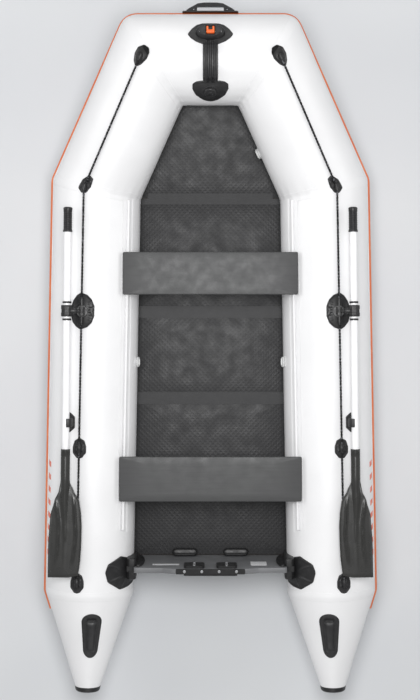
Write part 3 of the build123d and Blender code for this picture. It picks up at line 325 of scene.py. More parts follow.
class Shape:
    """Points, faces and finishes of a piece, gathered before it becomes an object."""

    def __init__(self):
        self.points, self.faces, self.finishes = [], [], []

    def take(self, points, faces, finish=0):
        base = len(self.points)
        self.points += [Vector(p) for p in points]
        self.faces += [tuple(base + corner for corner in face) for face in faces]
        self.finishes += [finish] * len(faces) if isinstance(finish, int) else finish
        return self

    def join(self, other):
        return self.take(other.points, other.faces, list(other.finishes))

    def rows(self, rows, caps=(True, True), finish=0, bands=None):
        """A closed skin through rows of points, each row a ring. bands gives a finish to each strip."""
        count, points = len(rows[0]), [p for row in rows for p in row]
        faces, finishes = [], []
        for r in range(len(rows) - 1):
            for c in range(count):
                n = (c + 1) % count
                faces.append((r * count + c, r * count + n, (r + 1) * count + n, (r + 1) * count + c))
                finishes.append(bands[c] if bands else finish)
        for end, wanted in ((0, caps[0]), (len(rows) - 1, caps[1])):
            if wanted:
                middle = sum((Vector(p) for p in rows[end]), Vector()) / count
                points.append(middle)
                for c in range(count):
                    n = (c + 1) % count
                    pair = (end * count + n, end * count + c) if end == 0 else (end * count + c, end * count + n)
                    faces.append(pair + (len(points) - 1,))
                    finishes.append(finish)
        return self.take(points, faces, finishes)

    def slab(self, outline, profile, place, rings=2, relief=None, finish=0, side=None, under=True):
        """A closed solid over an outline. The profile is (inset, height) pairs from its foot up.

        relief(x, y, inset) adds to the height of the top. side is the finish of the profile's faces.
        """
        inward, sign = facing_in(outline)
        if sign < 0:
            outline, inward = outline[::-1], inward[::-1]
        count = len(outline)
        middle = (sum(p[0] for p in outline) / count, sum(p[1] for p in outline) / count)
        last_inset, top = profile[-1]
        flat = []
        for inset, height in profile:
            flat.append([(x + i * inset, y + j * inset, height) for (x, y), (i, j) in zip(outline, inward)])
        edge = flat[-1]
        for ring in range(1, rings + 1):
            share = ring / (rings + 1)
            flat.append([(between(x, middle[0], share), between(y, middle[1], share), top) for x, y, _ in edge])
        flat.append([(middle[0], middle[1], top)])
        foot = flat[0]
        below = []
        if under:
            for ring in range(rings, 0, -1):
                share = ring / (rings + 1)
                below.append([(between(x, middle[0], share), between(y, middle[1], share), z) for x, y, z in foot])
            below.insert(0, [(middle[0], middle[1], foot[0][2])])
        stack = below + flat
        points, starts = [], []
        for level, row in enumerate(stack):
            starts.append(len(points))
            for x, y, z in row:
                lift = 0.0
                if relief and level >= len(below) + len(profile) - 1:
                    inset = last_inset + min(hypot(x - a, y - b) for a, b, _ in edge)
                    lift = relief(x, y, inset)
                points.append(place(x, y, z + lift))
        faces, finishes = [], []
        for level in range(len(stack) - 1):
            a, b = starts[level], starts[level + 1]
            on_side = len(below) <= level < len(below) + len(profile) - 1
            for c in range(count):
                n = (c + 1) % count
                if len(stack[level]) == 1:
                    faces.append((a, b + n, b + c))
                elif len(stack[level + 1]) == 1:
                    faces.append((a + c, a + n, b))
                else:
                    faces.append((a + c, a + n, b + n, b + c))
                finishes.append(side if side is not None and on_side else finish)
        return self.take(points, faces, finishes)

    def sweep(self, path, section, up=None, caps=(True, True), finish=0, bands=None):
        """A section of (across, above) points drawn along a path."""
        rows, side = [], None
        for number, here in enumerate(path):
            ahead = path[min(number + 1, len(path) - 1)] - path[max(number - 1, 0)]
            ahead.normalize()
            if up is not None:
                side = ahead.cross(up).normalized()
            elif side is None:
                side = ahead.cross(Vector((0, 0, 1)) if abs(ahead.z) < 0.9 else Vector((0, 1, 0))).normalized()
            else:
                side = (side - ahead * side.dot(ahead)).normalized()
            above = side.cross(ahead)
            cut = section(number) if callable(section) else section
            rows.append([here + side * x + above * y for x, y in cut])
        return self.rows(rows, caps, finish, bands)

    def lathe(self, profile, place, steps=40, finish=0):
        """A turned shape: (radius, height) pairs from its foot up."""
        rows = [[place(r * cos(2 * pi * s / steps), r * sin(2 * pi * s / steps), z) for s in range(steps)]
                for r, z in profile]
        return self.rows(rows, finish=finish)

    def mirrored(self):
        other = Shape()
        other.take([Vector((-p.x, p.y, p.z)) for p in self.points], [face[::-1] for face in self.faces],
                   list(self.finishes))
        return other

    def make(self, name, materials, nodes, slot, body=None, crease=38.0, replace=True):
        """Makes the object, in metres, and lets it stand for frame nodes."""
        mesh = bpy.data.meshes.new(name)
        mesh.from_pydata([p * MM for p in self.points], [], self.faces)
        for material in materials:
            mesh.materials.append(finish(material))
        mesh.polygons.foreach_set("material_index", self.finishes)
        work = bmesh.new()
        work.from_mesh(mesh)
        bmesh.ops.remove_doubles(work, verts=work.verts, dist=2e-6)
        bmesh.ops.dissolve_degenerate(work, edges=work.edges, dist=1e-6)
        bmesh.ops.recalc_face_normals(work, faces=work.faces)
        work.to_mesh(mesh)
        work.free()
        mesh.shade_smooth()
        mesh.set_sharp_from_angle(angle=radians(crease))
        mesh.update()
        piece = bpy.data.objects.new(name, mesh)
        bpy.context.scene.collection.objects.link(piece)
        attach(piece, body or BODY_OF[nodes[0]])
        if replace:
            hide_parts(*nodes)
        return piece


def both_sides(shape, name, materials, nodes, slot, **rest):
    """Makes the starboard piece and its port mirror. {side} in names stands for the side."""
    for side, sign in SIDES:
        part = shape if sign > 0 else shape.mirrored()
        part.make(name.format(side=side), materials, [node.format(side=side) for node in nodes], slot, **rest)


# ---------------------------------------------------------------- finishes

def linear(code):
    """An sRGB hex colour as linear RGBA."""
    parts = [int(code[n:n + 2], 16) / 255 for n in (0, 2, 4)]
    return tuple(p / 12.92 if p <= 0.04045 else ((p + 0.055) / 1.055) ** 2.4 for p in parts) + (1.0,)


def per_metre(size):
    """Texture scale for a pattern that repeats every size millimetres."""
    return 1.0 / (size * MM)


def add(tree, kind, settings=None, links=None):
    """Adds a node, with its settings and what its inputs are linked to."""
    new = tree.nodes.new(kind)
    for key, value in (settings or {}).items():
        if key == "stops":
            ramp = new.color_ramp
            for number, (spot, colour) in enumerate(value):
                stop = ramp.elements[number] if number < 2 else ramp.elements.new(spot)
                stop.position, stop.color = spot, colour
        elif isinstance(key, int) or key in new.inputs:
            new.inputs[key].default_value = value
        else:
            setattr(new, key, value)
    for key, source in (links or {}).items():
        tree.links.new(source, new.inputs[key])
    return new


# The colour of each finish that a user may change, as it comes
COLOURS = {"hull": "E9E9EA", "strake": "E0713A", "boards": "2B2B2C", "seats": "484849", "blades": "2E2E2D",
           "paper": "D3D5D8"}


class Finish:
    """A material being made: its tree, its shader and the place on the piece, in metres."""

    def __init__(self, name, code, roughness, dyed=None, **settings):
        self.shift = (1.0,) * 4
        if dyed:
            wanted = getattr(bpy.context.scene.dinghy_colours, dyed)
            self.shift = tuple(new / usual for new, usual in zip(wanted, linear(COLOURS[dyed]))) + (1.0,)
        self.material = bpy.data.materials.new(name)
        self.material.use_nodes = True
        self.material.diffuse_color = self.dye(code)
        self.tree = self.material.node_tree
        self.shader = self.tree.nodes["Principled BSDF"]
        self.shader.inputs["Base Color"].default_value = self.dye(code)
        self.shader.inputs["Roughness"].default_value = roughness
        for key, value in settings.items():
            self.shader.inputs[key.replace("_", " ")].default_value = value
        self.place = add(self.tree, "ShaderNodeTexCoord").outputs["Object"]

    def dye(self, code):
        """A hex colour, moved as the user has moved the finish's own colour."""
        return tuple(part * move for part, move in zip(linear(code), self.shift))

    def add(self, kind, settings=None, links=None):
        return add(self.tree, kind, settings, links)

    def mottled(self, size, low, high, detail=4.0):
        """Colour that drifts between two over patches of a given size."""
        cloud = self.add("ShaderNodeTexNoise", {"Scale": per_metre(size), "Detail": detail}, {"Vector": self.place})
        tint = self.add("ShaderNodeValToRGB", {"stops": [(0.3, self.dye(low)), (0.7, self.dye(high))]},
                        {"Fac": cloud.outputs["Fac"]})
        return tint.outputs["Color"]

    def over(self, mask, under, top):
        """Lays one colour over another where the mask is 1."""
        mix = self.add("ShaderNodeMix", {"data_type": "RGBA"}, {"Factor": mask, 6: under})
        if isinstance(top, str):
            mix.inputs[7].default_value = self.dye(top)
        else:
            self.tree.links.new(top, mix.inputs[7])
        return mix.outputs[2]

    def coloured(self, source):
        self.tree.links.new(source, self.shader.inputs["Base Color"])
        return self

    def uneven_gloss(self, size, low, high):
        cloud = self.add("ShaderNodeTexNoise", {"Scale": per_metre(size), "Detail": 3.0}, {"Vector": self.place})
        gloss = self.add("ShaderNodeMapRange", {"From Min": 0.3, "From Max": 0.7, "To Min": low, "To Max": high},
                         {"Value": cloud.outputs["Fac"]})
        self.tree.links.new(gloss.outputs["Result"], self.shader.inputs["Roughness"])
        return self

    def raised(self, heights):
        """Bump from (mask, depth in millimetres) pairs, one on another."""
        last = None
        for mask, depth in heights:
            links = {"Height": mask}
            if last:
                links["Normal"] = last
            last = self.add("ShaderNodeBump", {"Strength": 1.0, "Distance": depth * MM}, links).outputs["Normal"]
        self.tree.links.new(last, self.shader.inputs["Normal"])
        return self.material

    def grain(self, size, detail=2.0):
        return self.add("ShaderNodeTexNoise", {"Scale": per_metre(size), "Detail": detail},
                        {"Vector": self.place}).outputs["Fac"]

    def lines(self, size, axis, warp=0.0):
        """Fine parallel lines, a given size apart, stepping along an axis."""
        return self.add("ShaderNodeTexWave", {"bands_direction": axis, "Scale": per_metre(size) / 20 * pi,
                                              "Distortion": warp, "Detail": 2.0},
                        {"Vector": self.place}).outputs["Fac"]


def woven(made, thread):
    """The imprint of the base cloth in a coated fabric. Threads under a millimetre are drawn coarser, to show."""
    cross = made.add("ShaderNodeMath", {"operation": "MAXIMUM"},
                     {0: made.lines(thread, "X"), 1: made.lines(thread, "Y")})
    return cross.outputs["Value"]


def coated_fabric_white():
    # PVC-coated polyester, calendered: satin, almost flat, with the faintest weave and a soft uneven gloss
    made = Finish("PVC coated fabric, white calendered", "E9E9EA", 0.4, dyed="hull", Coat_Weight=0.12,
                  Coat_Roughness=0.35)
    cloud = made.mottled(260, "E7E7E8", "ECECED", 3.0)
    rub = made.add("ShaderNodeTexNoise", {"Scale": per_metre(70), "Detail": 8.0, "Roughness": 0.7},
                   {"Vector": made.place})
    scuff = made.add("ShaderNodeMapRange", {"From Min": 0.6, "From Max": 0.8, "To Min": 0.0, "To Max": 0.35},
                     {"Value": rub.outputs["Fac"]})
    made.coloured(made.over(scuff.outputs["Result"], cloud, "DEDEE0"))
    made.uneven_gloss(90, 0.34, 0.47)
    return made.raised([(woven(made, 3.0), 0.05), (made.grain(35, 3.0), 0.35)])


def seam_tape_white():
    # PVC seam tape, glued by hand: a shade duller than the tube, with slight ripples of glue
    made = Finish("PVC seam tape, white glued", "E8E8E9", 0.42, dyed="hull", Coat_Weight=0.1, Coat_Roughness=0.35)
    made.coloured(made.mottled(200, "E6E6E7", "EBEBEC"))
    return made.raised([(woven(made, 3.0), 0.06), (made.grain(30, 3.0), 0.25)])


def coated_fabric_grey():
    # Heavier PVC-coated polyester of the bottom: grey, embossed cloth, scuffed where it runs aground
    made = Finish("PVC coated fabric, grey embossed", "6A6D71", 0.5)
    rub = made.add("ShaderNodeMapRange", {"From Min": 0.58, "From Max": 0.72}, {"Value": made.grain(40, 8.0)})
    made.coloured(made.over(rub.outputs["Result"], made.mottled(200, "5F6266", "73767A"), "8C8F92"))
    return made.raised([(woven(made, 4.0), 0.12), (made.grain(20, 3.0), 0.3)])


def strake_light():
    # Extruded PVC rubbing strake: die lines run along it, and it is soft and dull
    made = Finish("PVC rubbing strake, light grey extruded", "DCDDE0", 0.5)
    made.coloured(made.mottled(50, "D2D3D7", "E3E4E6"))
    return made.raised([(made.lines(2.0, "Z"), 0.06), (made.grain(8), 0.08)])


def strake_orange():
    # The strake's coloured edge, extruded with it: orange-red, paler where it has been rubbed
    made = Finish("PVC rubbing strake, orange extruded", "E0713A", 0.42, dyed="strake")
    rub = made.add("ShaderNodeMapRange", {"From Min": 0.55, "From Max": 0.75, "To Max": 0.5},
                   {"Value": made.grain(30, 7.0)})
    made.coloured(made.over(rub.outputs["Result"], made.mottled(120, "D9672F", "E67B45"), "EA9468"))
    return made.raised([(made.grain(6), 0.1)])


def floor_ply():
    # Film-faced birch plywood with the wire-mesh print of a non-slip floor: dark, with small dull diamonds
    made = Finish("Film-faced plywood, wire-mesh pressed", "2B2B2C", 0.5, dyed="boards", Specular_IOR_Level=0.25)
    turned = made.add("ShaderNodeMapping", {"Rotation": (0.0, 0.0, pi / 4)}, {"Vector": made.place})
    mesh_lines = []
    for axis in ("X", "Y"):
        wave = made.add("ShaderNodeTexWave", {"bands_direction": axis, "Scale": per_metre(9.0) / 20 * pi},
                        {"Vector": turned.outputs["Vector"]})
        mesh_lines.append(wave.outputs["Fac"])
    mesh = made.add("ShaderNodeMath", {"operation": "MAXIMUM"}, {0: mesh_lines[0], 1: mesh_lines[1]}).outputs["Value"]
    thread = made.add("ShaderNodeMapRange", {"From Min": 0.8, "From Max": 0.98, "To Max": 0.45}, {"Value": mesh})
    film = made.mottled(260, "2B2B2C", "2D2D2E", 3.0)
    made.coloured(made.over(thread.outputs["Result"], film, "323234"))
    made.uneven_gloss(60, 0.36, 0.52)
    return made.raised([(mesh, 0.35), (made.grain(25, 3.0), 0.25)])


def ply_edge():
    # Sealed edge of birch plywood: thin brown plies under a dark varnish
    made = Finish("Birch plywood edge, varnished", "4A3F35", 0.5)
    plies = made.lines(3.0, "Z", 0.6)
    made.coloured(made.over(plies, made.mottled(30, "332C26", "40372F"), "5C4E40"))
    return made.raised([(plies, 0.12)])


def joiner_black():
    # Extruded aluminium, black anodised: a dull metal sheen with the die's lines across the boat
    made = Finish("Aluminium extrusion, black anodised", "202022", 0.48, Specular_IOR_Level=0.35)
    made.coloured(made.mottled(40, "1C1C1E", "252527"))
    return made.raised([(made.lines(1.6, "Y"), 0.04), (made.grain(6), 0.03)])


def seat_paint():
    # Plywood bench, sprayed grey: fine orange peel, and the grain of the face ply showing faintly through
    made = Finish("Plywood, sprayed grey enamel", "484849", 0.42, dyed="seats", Specular_IOR_Level=0.3)
    stretched = made.add("ShaderNodeMapping", {"Scale": (0.05, 1.0, 1.0)}, {"Vector": made.place})
    grain = made.add("ShaderNodeTexNoise", {"Scale": per_metre(9), "Detail": 5.0},
                     {"Vector": stretched.outputs["Vector"]}).outputs["Fac"]
    wood = made.add("ShaderNodeMapRange", {"From Min": 0.4, "From Max": 0.7, "To Max": 0.35}, {"Value": grain})
    made.coloured(made.over(wood.outputs["Result"], made.mottled(220, "474748", "494A4A"), "3E3E3F"))
    made.uneven_gloss(45, 0.36, 0.5)
    return made.raised([(grain, 0.12), (made.grain(3.0), 0.05)])


def transom_paint():
    # Marine plywood transom, two coats of dark grey enamel over the grain
    made = Finish("Marine plywood, grey enamel", "6E6F71", 0.45)
    stretched = made.add("ShaderNodeMapping", {"Scale": (0.06, 1.0, 1.0)}, {"Vector": made.place})
    grain = made.add("ShaderNodeTexNoise", {"Scale": per_metre(8), "Detail": 6.0},
                     {"Vector": stretched.outputs["Vector"]}).outputs["Fac"]
    wood = made.add("ShaderNodeMapRange", {"From Min": 0.42, "From Max": 0.7, "To Max": 0.5}, {"Value": grain})
    made.coloured(made.over(wood.outputs["Result"], made.mottled(150, "6A6B6D", "757678"), "5C5D5F"))
    return made.raised([(grain, 0.15), (made.grain(4.0), 0.05)])


def rubber_black():
    # Moulded rubber: deep grey, dull, with a fine spark-eroded grain and a trace of bloom
    made = Finish("Rubber, black moulded", "202021", 0.42, Specular_IOR_Level=0.4)
    bloom = made.add("ShaderNodeMapRange", {"From Min": 0.5, "From Max": 0.75, "To Max": 0.5},
                     {"Value": made.grain(22, 6.0)})
    made.coloured(made.over(bloom.outputs["Result"], made.mottled(60, "1F1F20", "272728"), "333334"))
    made.uneven_gloss(18, 0.34, 0.5)
    return made.raised([(made.grain(2.5), 0.1)])


def nylon_black():
    # Glass-filled nylon, injection moulded: hard and black, satin, with faint flow marks
    made = Finish("Nylon, black injection moulded", "202021", 0.36, Specular_IOR_Level=0.4)
    made.coloured(made.mottled(25, "1B1B1C", "252526"))
    made.uneven_gloss(15, 0.3, 0.44)
    return made.raised([(made.grain(3.0), 0.05)])


def blade_plastic():
    # Polypropylene blade, injection moulded: dark grey with a soft gloss and flow lines along it
    made = Finish("Polypropylene, dark grey injection moulded", "2E2E2D", 0.3, dyed="blades")
    flow = made.add("ShaderNodeMapping", {"Scale": (1.0, 0.12, 1.0)}, {"Vector": made.place})
    streak = made.add("ShaderNodeTexNoise", {"Scale": per_metre(14), "Detail": 4.0},
                      {"Vector": flow.outputs["Vector"]}).outputs["Fac"]
    mask = made.add("ShaderNodeMapRange", {"From Min": 0.45, "From Max": 0.7, "To Max": 0.15}, {"Value": streak})
    made.coloured(made.over(mask.outputs["Result"], made.mottled(70, "2D2D2C", "313130"), "40403E"))
    made.uneven_gloss(60, 0.25, 0.3)
    return made.raised([(streak, 0.03), (made.grain(2.5), 0.04)])


def shaft_white():
    # Drawn aluminium tube, powder coated white: glossy, with the powder's fine peel
    made = Finish("Aluminium tube, white powder coated", "F4F4F5", 0.26, Coat_Weight=0.3, Coat_Roughness=0.15)
    made.coloured(made.mottled(80, "EFEFF1", "F8F8F9"))
    return made.raised([(made.grain(2.5), 0.04)])


def steel():
    # Stainless steel, brushed: bright, with fine scratches
    made = Finish("Stainless steel, brushed", "C8C9CB", 0.3, Metallic=1.0)
    made.coloured(made.mottled(12, "BCBDC0", "D3D4D6"))
    return made.raised([(made.lines(1.0, "X"), 0.02)])


def rope_black():
    # Braided polypropylene rope: black strands, with small grey flecks painted on as glints where the strands catch the
    # light
    made = Finish("Polypropylene rope, black braided", "151516", 0.66, Specular_IOR_Level=0.25)
    fleck = made.add("ShaderNodeTexVoronoi", {"Scale": per_metre(7.0)}, {"Vector": made.place}).outputs["Color"]
    pick = made.add("ShaderNodeSeparateColor", {}, {"Color": fleck}).outputs["Red"]
    # painted highlight: sparse grey flecks stand in for glints of light on the braid's strands
    painted_glints = made.add("ShaderNodeMapRange", {"From Min": 0.8, "From Max": 0.84, "To Max": 0.8}, {"Value": pick})
    made.coloured(made.over(painted_glints.outputs["Result"], made.mottled(12, "111112", "1B1B1D"), "6A6B6F"))
    return made.raised([(made.grain(1.5, 3.0), 0.12)])


def plastic_orange():
    # ABS lever, injection moulded: clean orange, half gloss
    made = Finish("ABS, orange injection moulded", "F4681C", 0.32)
    made.coloured(made.mottled(15, "F0611A", "F87428"))
    return made.raised([(made.grain(2.5), 0.05)])


def valve_plastic():
    # Nylon valve, moulded light grey: half gloss, slightly yellowed
    made = Finish("Nylon, light grey injection moulded", "CDCECF", 0.38)
    made.coloured(made.mottled(15, "C6C7C8", "D6D6D5"))
    return made.raised([(made.grain(2.5), 0.05)])


def keel_fabric():
    # PVC-coated polyester of the keel tube: mid grey, calendered, never in the light
    made = Finish("PVC coated fabric, mid grey calendered", "8A8D91", 0.45)
    made.coloured(made.mottled(120, "828589", "93969A"))
    return made.raised([(woven(made, 3.0), 0.08), (made.grain(30), 0.3)])


def label_film():
    # Blank rating label, printed on silver vinyl film: smooth
    made = Finish("Vinyl label, silver film", "D6D7D9", 0.3)
    made.coloured(made.mottled(25, "CFD0D2", "DEDFE0"))
    return made.raised([(made.grain(6), 0.03)])


def print_orange():
    # Screen-printed PVC ink: flat orange-red, thin enough to show the fabric at its worn spots
    made = Finish("PVC ink, orange-red screen printed", "E0664C", 0.42)
    rub = made.add("ShaderNodeMapRange", {"From Min": 0.56, "From Max": 0.66, "To Max": 0.6},
                   {"Value": made.grain(14, 8.0)})
    made.coloured(made.over(rub.outputs["Result"], made.mottled(50, "DA6249", "E6785F"), "F0B6A8"))
    return made.raised([(woven(made, 3.0), 0.05)])


def stage_paper():
    # Matt paper sweep: pale and even, with the least tooth
    made = Finish("Paper, pale matt", "D3D5D8", 0.85, dyed="paper")
    made.coloured(made.mottled(900, "D1D3D6", "D6D8DA", 2.0))
    return made.raised([(made.grain(12), 0.1)])


MADE = {}


def finish(maker):
    """The material of a maker, made once."""
    if maker not in MADE:
        MADE[maker] = maker()
    return MADE[maker]


# ---------------------------------------------------------------- hull

LINES = 96              # lines along the hull in a full turn
FIT = 0.3


def hull_rows(first, last):
    """Rings of the starboard hull between two places along its lines."""
    lines = [hull_line(360.0 * n / LINES)[0] for n in range(LINES)]
    return [[line[place] for line in lines] for place in range(first, last + 1)]


def build_chambers(tape_width):
    marks = hull_line(0.0)[2]
    total = len(hull_line(0.0)[0]) - 1
    side = Shape().rows(hull_rows(marks["shoulder"], total))
    both_sides(side, "{side}_chamber_skin", [coated_fabric_white], ["{side}_side_tube", "{side}_tail_cone"],
               "pvc_white")
    half = hull_rows(0, marks["shoulder"])
    port = [[p * Vector((-1, 1, 1)) for p in row] for row in half[1:]]
    Shape().rows(half[::-1] + port).make(
        "bow_chamber_skin", [coated_fabric_white],
        ["starboard_bow_tube", "port_bow_tube", "bow_cross_tube", "chamber_bulkheads"], "pvc_white")
    build_tapes(tape_width)


def build_tapes(width):
    """Glued bands over the joints of the tubes."""
    half = width / 2
    spots = [(-half, 0.0), (-half + 1, 1.1), (-half / 2, 1.2), (-5.0, 1.3), (0.0, 1.4), (5.0, 1.3), (half / 2, 1.2),
             (half - 1, 1.1), (half, 0.0), (half / 2, -0.8), (0.0, -0.8), (-half / 2, -0.8)]
    tapes = Shape()
    for mark in ("corner", "shoulder", "cone"):
        rows = []
        for n in range(LINES + 1):
            ring = []
            for distance, lift in spots:
                point, direction = step_along(360.0 * (n % LINES) / LINES, mark, distance)
                ring.append(point + direction * lift)
            rows.append(ring)
        tapes.rows(rows, caps=(False, False))
    tapes.join(tapes.mirrored())
    tapes.make("seam_tapes", [seam_tape_white], ["starboard_side_tube"], "pvc_white", replace=False)


def build_cone_caps():
    place = square(TAIL, SIDE.out, SIDE.along * -1)
    edge = CONE_END + 2.0
    profile = [(edge - 9, -16), (edge - 9, -6), (edge, -6), (edge + 1.2, -4), (edge + 1.2, -1), (edge, 1),
               (edge - 0.6, 8), (edge - 3, 14), (edge - 8, 18), (edge - 14, 19.4), (edge - 17, 18.2), (edge - 20, 18.0),
               (18, 18.4), (15, 20), (9, 20)]
    both_sides(Shape().lathe(profile, place, 64), "{side}_cone_cap", [rubber_black], ["cone_end_caps"], "black_rubber")


def silhouette(run, origin, normal):
    """Where a tube's outermost line meets a joint plane."""
    return meet(run.start + run.out * TUBE, run.along, origin, normal)


def strake_path():
    tail = side_point(STRAKE_END_Y) + SIDE.out * (TUBE - (TUBE - CONE_END) * (CONE_Y - STRAKE_END_Y) / (CONE_Y
                                                                                                        - CONE_END_Y))
    cone = SIDE.start + SIDE.out * TUBE
    shoulder = silhouette(SIDE, SIDE.end, SHOULDER_NORMAL)
    corner = silhouette(BOW, CORNER, CORNER_NORMAL)
    middle = CORNER * Vector((0, 1, 1)) + BOW.out * TUBE
    turns = [turn(tail, cone, shoulder, 60.0, 4), turn(cone, shoulder, corner, SHOULDER_BEND, 6),
             turn(shoulder, corner, middle, OUTER_BEND, 10)]
    path = [tail]
    for bend, count in zip(turns, (4, 60, 20)):
        path += spread(path[-1], bend[0], count) + bend
    path += spread(path[-1], middle, 10)
    return path + [middle] + [p * Vector((-1, 1, 1)) for p in path[::-1]]


def build_strake(depth, height):
    half = height / 2
    upper = [(1.6, half), (3.0, half - 1.5), (3.6, half - 5), (2.8, half - 9), (3.0, half - 17), (6.0, half - 21),
             (9.6, half - 25), (depth - 0.4, half - 30)]
    outer = upper + [(depth, 0.0)] + [(x, -h) for x, h in upper[::-1]]
    def sunk(h):
        return TUBE - sqrt(TUBE ** 2 - h ** 2)
    section = [(x - sunk(h), h) for x, h in outer] + [(-1.5 - sunk(h), h) for h in (-half, 0.0, half)]
    lip = 2
    bands = [1 if lip <= n < len(outer) - lip - 1 else 0 for n in range(len(section))]
    Shape().sweep(strake_path(), section, up=Vector((0, 0, 1)), bands=bands).make(
        "rubbing_strake_strip", [strake_light, strake_orange], ["rubbing_strake"], "strake_rubber", crease=50)


def keel_line(y):
    return 1.5 + max(0.0, y - SHOULDER_Y) * tan(radians(BOW_SLOPE))


def build_bottom():
    """The bottom's fabric, pulled down to the keel and up to the tubes, with a rounded keel line."""
    low, high = node_box("bottom_sheet")
    stations = [between(low.y, high.y, n / 36) for n in range(37)]
    rows = []
    for y in stations:
        run = SIDE if y < SHOULDER_Y else SLANT
        edge = run.skin(min(y, CORNER.y - 40.0), 30.0 - 180.0)
        half, rise = edge.x + 14.0, edge.z + 1.0
        blunt = smooth(y, CORNER.y - 130.0, high.y)
        keel = between(keel_line(y), rise - 6.0, blunt)
        under = []
        for n in range(41):
            x = half * (n / 20 - 1)
            away = smooth(abs(x), 4.0, 60.0)
            belly = between(keel, keel + (rise - keel) * 0.35, away)
            flat = between(belly, rise, max(0.0, (abs(x) - 60.0) / (half - 60.0)) ** 1.4 if abs(x) > 60.0 else 0.0)
            under.append(Vector((x, y, flat)))
        rows.append(under + [p + Vector((0, 0, 3.0)) for p in under[::-1]])
    Shape().rows(rows).make("bottom_fabric", [coated_fabric_grey], ["bottom_sheet"], "pvc_grey")
    low, high = node_box("keel_tube")
    radius = (high.x - low.x) / 2
    z = low.z + radius
    knee = Vector((0, SHOULDER_Y, z))
    front = knee + Vector((0, 1, tan(radians(BOW_SLOPE)))) * (high.y - SHOULDER_Y - 12.0)
    back = Vector((0, low.y + 1.0, z))
    bend = turn(back, knee, front, 400.0, 8)
    path = [back] + spread(back, bend[0], 30) + bend + spread(bend[-1], front, 8) + [front]
    def section(number):
        swell = 1.0 - 0.9 * exp(-min(number, len(path) - 1 - number) * 1.2) * 0.3
        return [(radius * swell * cos(2 * pi * n / 32), radius * swell * sin(2 * pi * n / 32)) for n in range(32)]
    Shape().sweep(path, section).make("keel_skin", [keel_fabric], ["keel_tube"], "pvc_grey")


# ---------------------------------------------------------------- boards

def convex(points):
    """The convex outline round flat points, anticlockwise."""
    points = sorted(set((round(x, 2), round(y, 2)) for x, y in points))
    def chain(run):
        kept = []
        for p in run:
            while len(kept) > 1 and ((kept[-1][0] - kept[-2][0]) * (p[1] - kept[-2][1])
                                     - (kept[-1][1] - kept[-2][1]) * (p[0] - kept[-2][0])) <= 1e-6:
                kept.pop()
            kept.append(p)
        return kept[:-1]
    return chain(points) + chain(points[::-1])


def even(outline, step):
    """The same closed outline with points about a step apart."""
    dense = []
    for a, b in zip(outline, outline[1:] + outline[:1]):
        count = max(1, int(hypot(b[0] - a[0], b[1] - a[1]) / step))
        dense += [(between(a[0], b[0], n / count), between(a[1], b[1], n / count)) for n in range(count)]
    return dense


def node_outline(node, origin, x_axis, z_axis, low, high):
    """The outline of a frame node's points between two heights over a plane."""
    z_axis = Vector(z_axis).normalized()
    x_axis = Vector(x_axis)
    y_axis = z_axis.cross(x_axis)
    flat = []
    for vertex in frame["nodes"][node].data.vertices:
        place = vertex.co / MM - Vector(origin)
        if low <= place.dot(z_axis) <= high:
            flat.append((place.dot(x_axis), place.dot(y_axis)))
    return convex(flat)


def eased(thick, radius):
    """Profile of a board with rounded edges."""
    foot = [(radius * (1 - sin(a)), radius * (1 - cos(a))) for a in (0.0, pi / 6, pi / 3, pi / 2)]
    return foot + [(inset, thick - height) for inset, height in foot[::-1]]


def build_floor():
    for number in range(2, 6):
        node = f"floor_board_{number}"
        low, high = node_box(node)
        origin = (0, 0, low.z)
        thick = high.z - low.z
        outline = node_outline(node, origin, (1, 0, 0), (0, 0, 1), thick - 0.5, thick + 0.5)
        outline = even(rounded(outline, 5.0, 40.0), 40.0)
        Shape().slab(outline, eased(thick, 1.6), square(origin, (1, 0, 0), (0, 0, 1)), rings=1, side=1).make(
            node + "_panel", [floor_ply, ply_edge], [node], "floor_plywood")
    slope = radians(BOW_SLOPE)
    low, high = node_box("floor_board_1")
    rear_low, rear_high = node_box("floor_board_2")
    thick = rear_high.z - rear_low.z
    over = Vector((0, -sin(slope), cos(slope)))
    origin = Vector((0, low.y + thick * sin(slope), rear_low.z))
    outline = node_outline("floor_board_1", origin, (1, 0, 0), over, thick - 0.6, thick + 0.6)
    outline = even(outline, 25.0)
    Shape().slab(outline, eased(thick, 1.6), square(origin, (1, 0, 0), over), rings=2, side=1).make(
        "floor_board_1_panel", [floor_ply, ply_edge], ["floor_board_1"], "floor_plywood")


def build_seats():
    for name in ("front_seat", "rear_seat"):
        node = f"{name}_board"
        low, high = node_box(node)
        middle = (low + high) / 2
        long, deep, thick = high.x - low.x, high.y - low.y, high.z - low.z
        outline = block_outline(long, deep, 7.0, 12.0)
        place = square((middle.x, middle.y, low.z), (1, 0, 0), (0, 0, 1))
        seat = Shape().slab(outline, eased(thick, 4.0), place, rings=2, side=0)
        seat.make(node + "_bench", [seat_paint], [node], "seat_plywood")


def transom_place(x, up, fore):
    """On the transom: X to starboard, up the board, and forward out of its front face."""
    rake = radians(4.0)
    foot = Vector((0.0, -1020.0, node_box("floor_board_2")[1].z))
    return foot + Vector((x, 0, 0)) + Vector((0, -sin(rake), cos(rake))) * up + Vector((0, cos(rake), sin(rake))) * fore


TRANSOM = 25.0
TRANSOM_HEIGHT = 304.0
TRANSOM_HALF = 367.0
TRANSOM_DROP = 76.0
CLAMP_HALF = 170.0


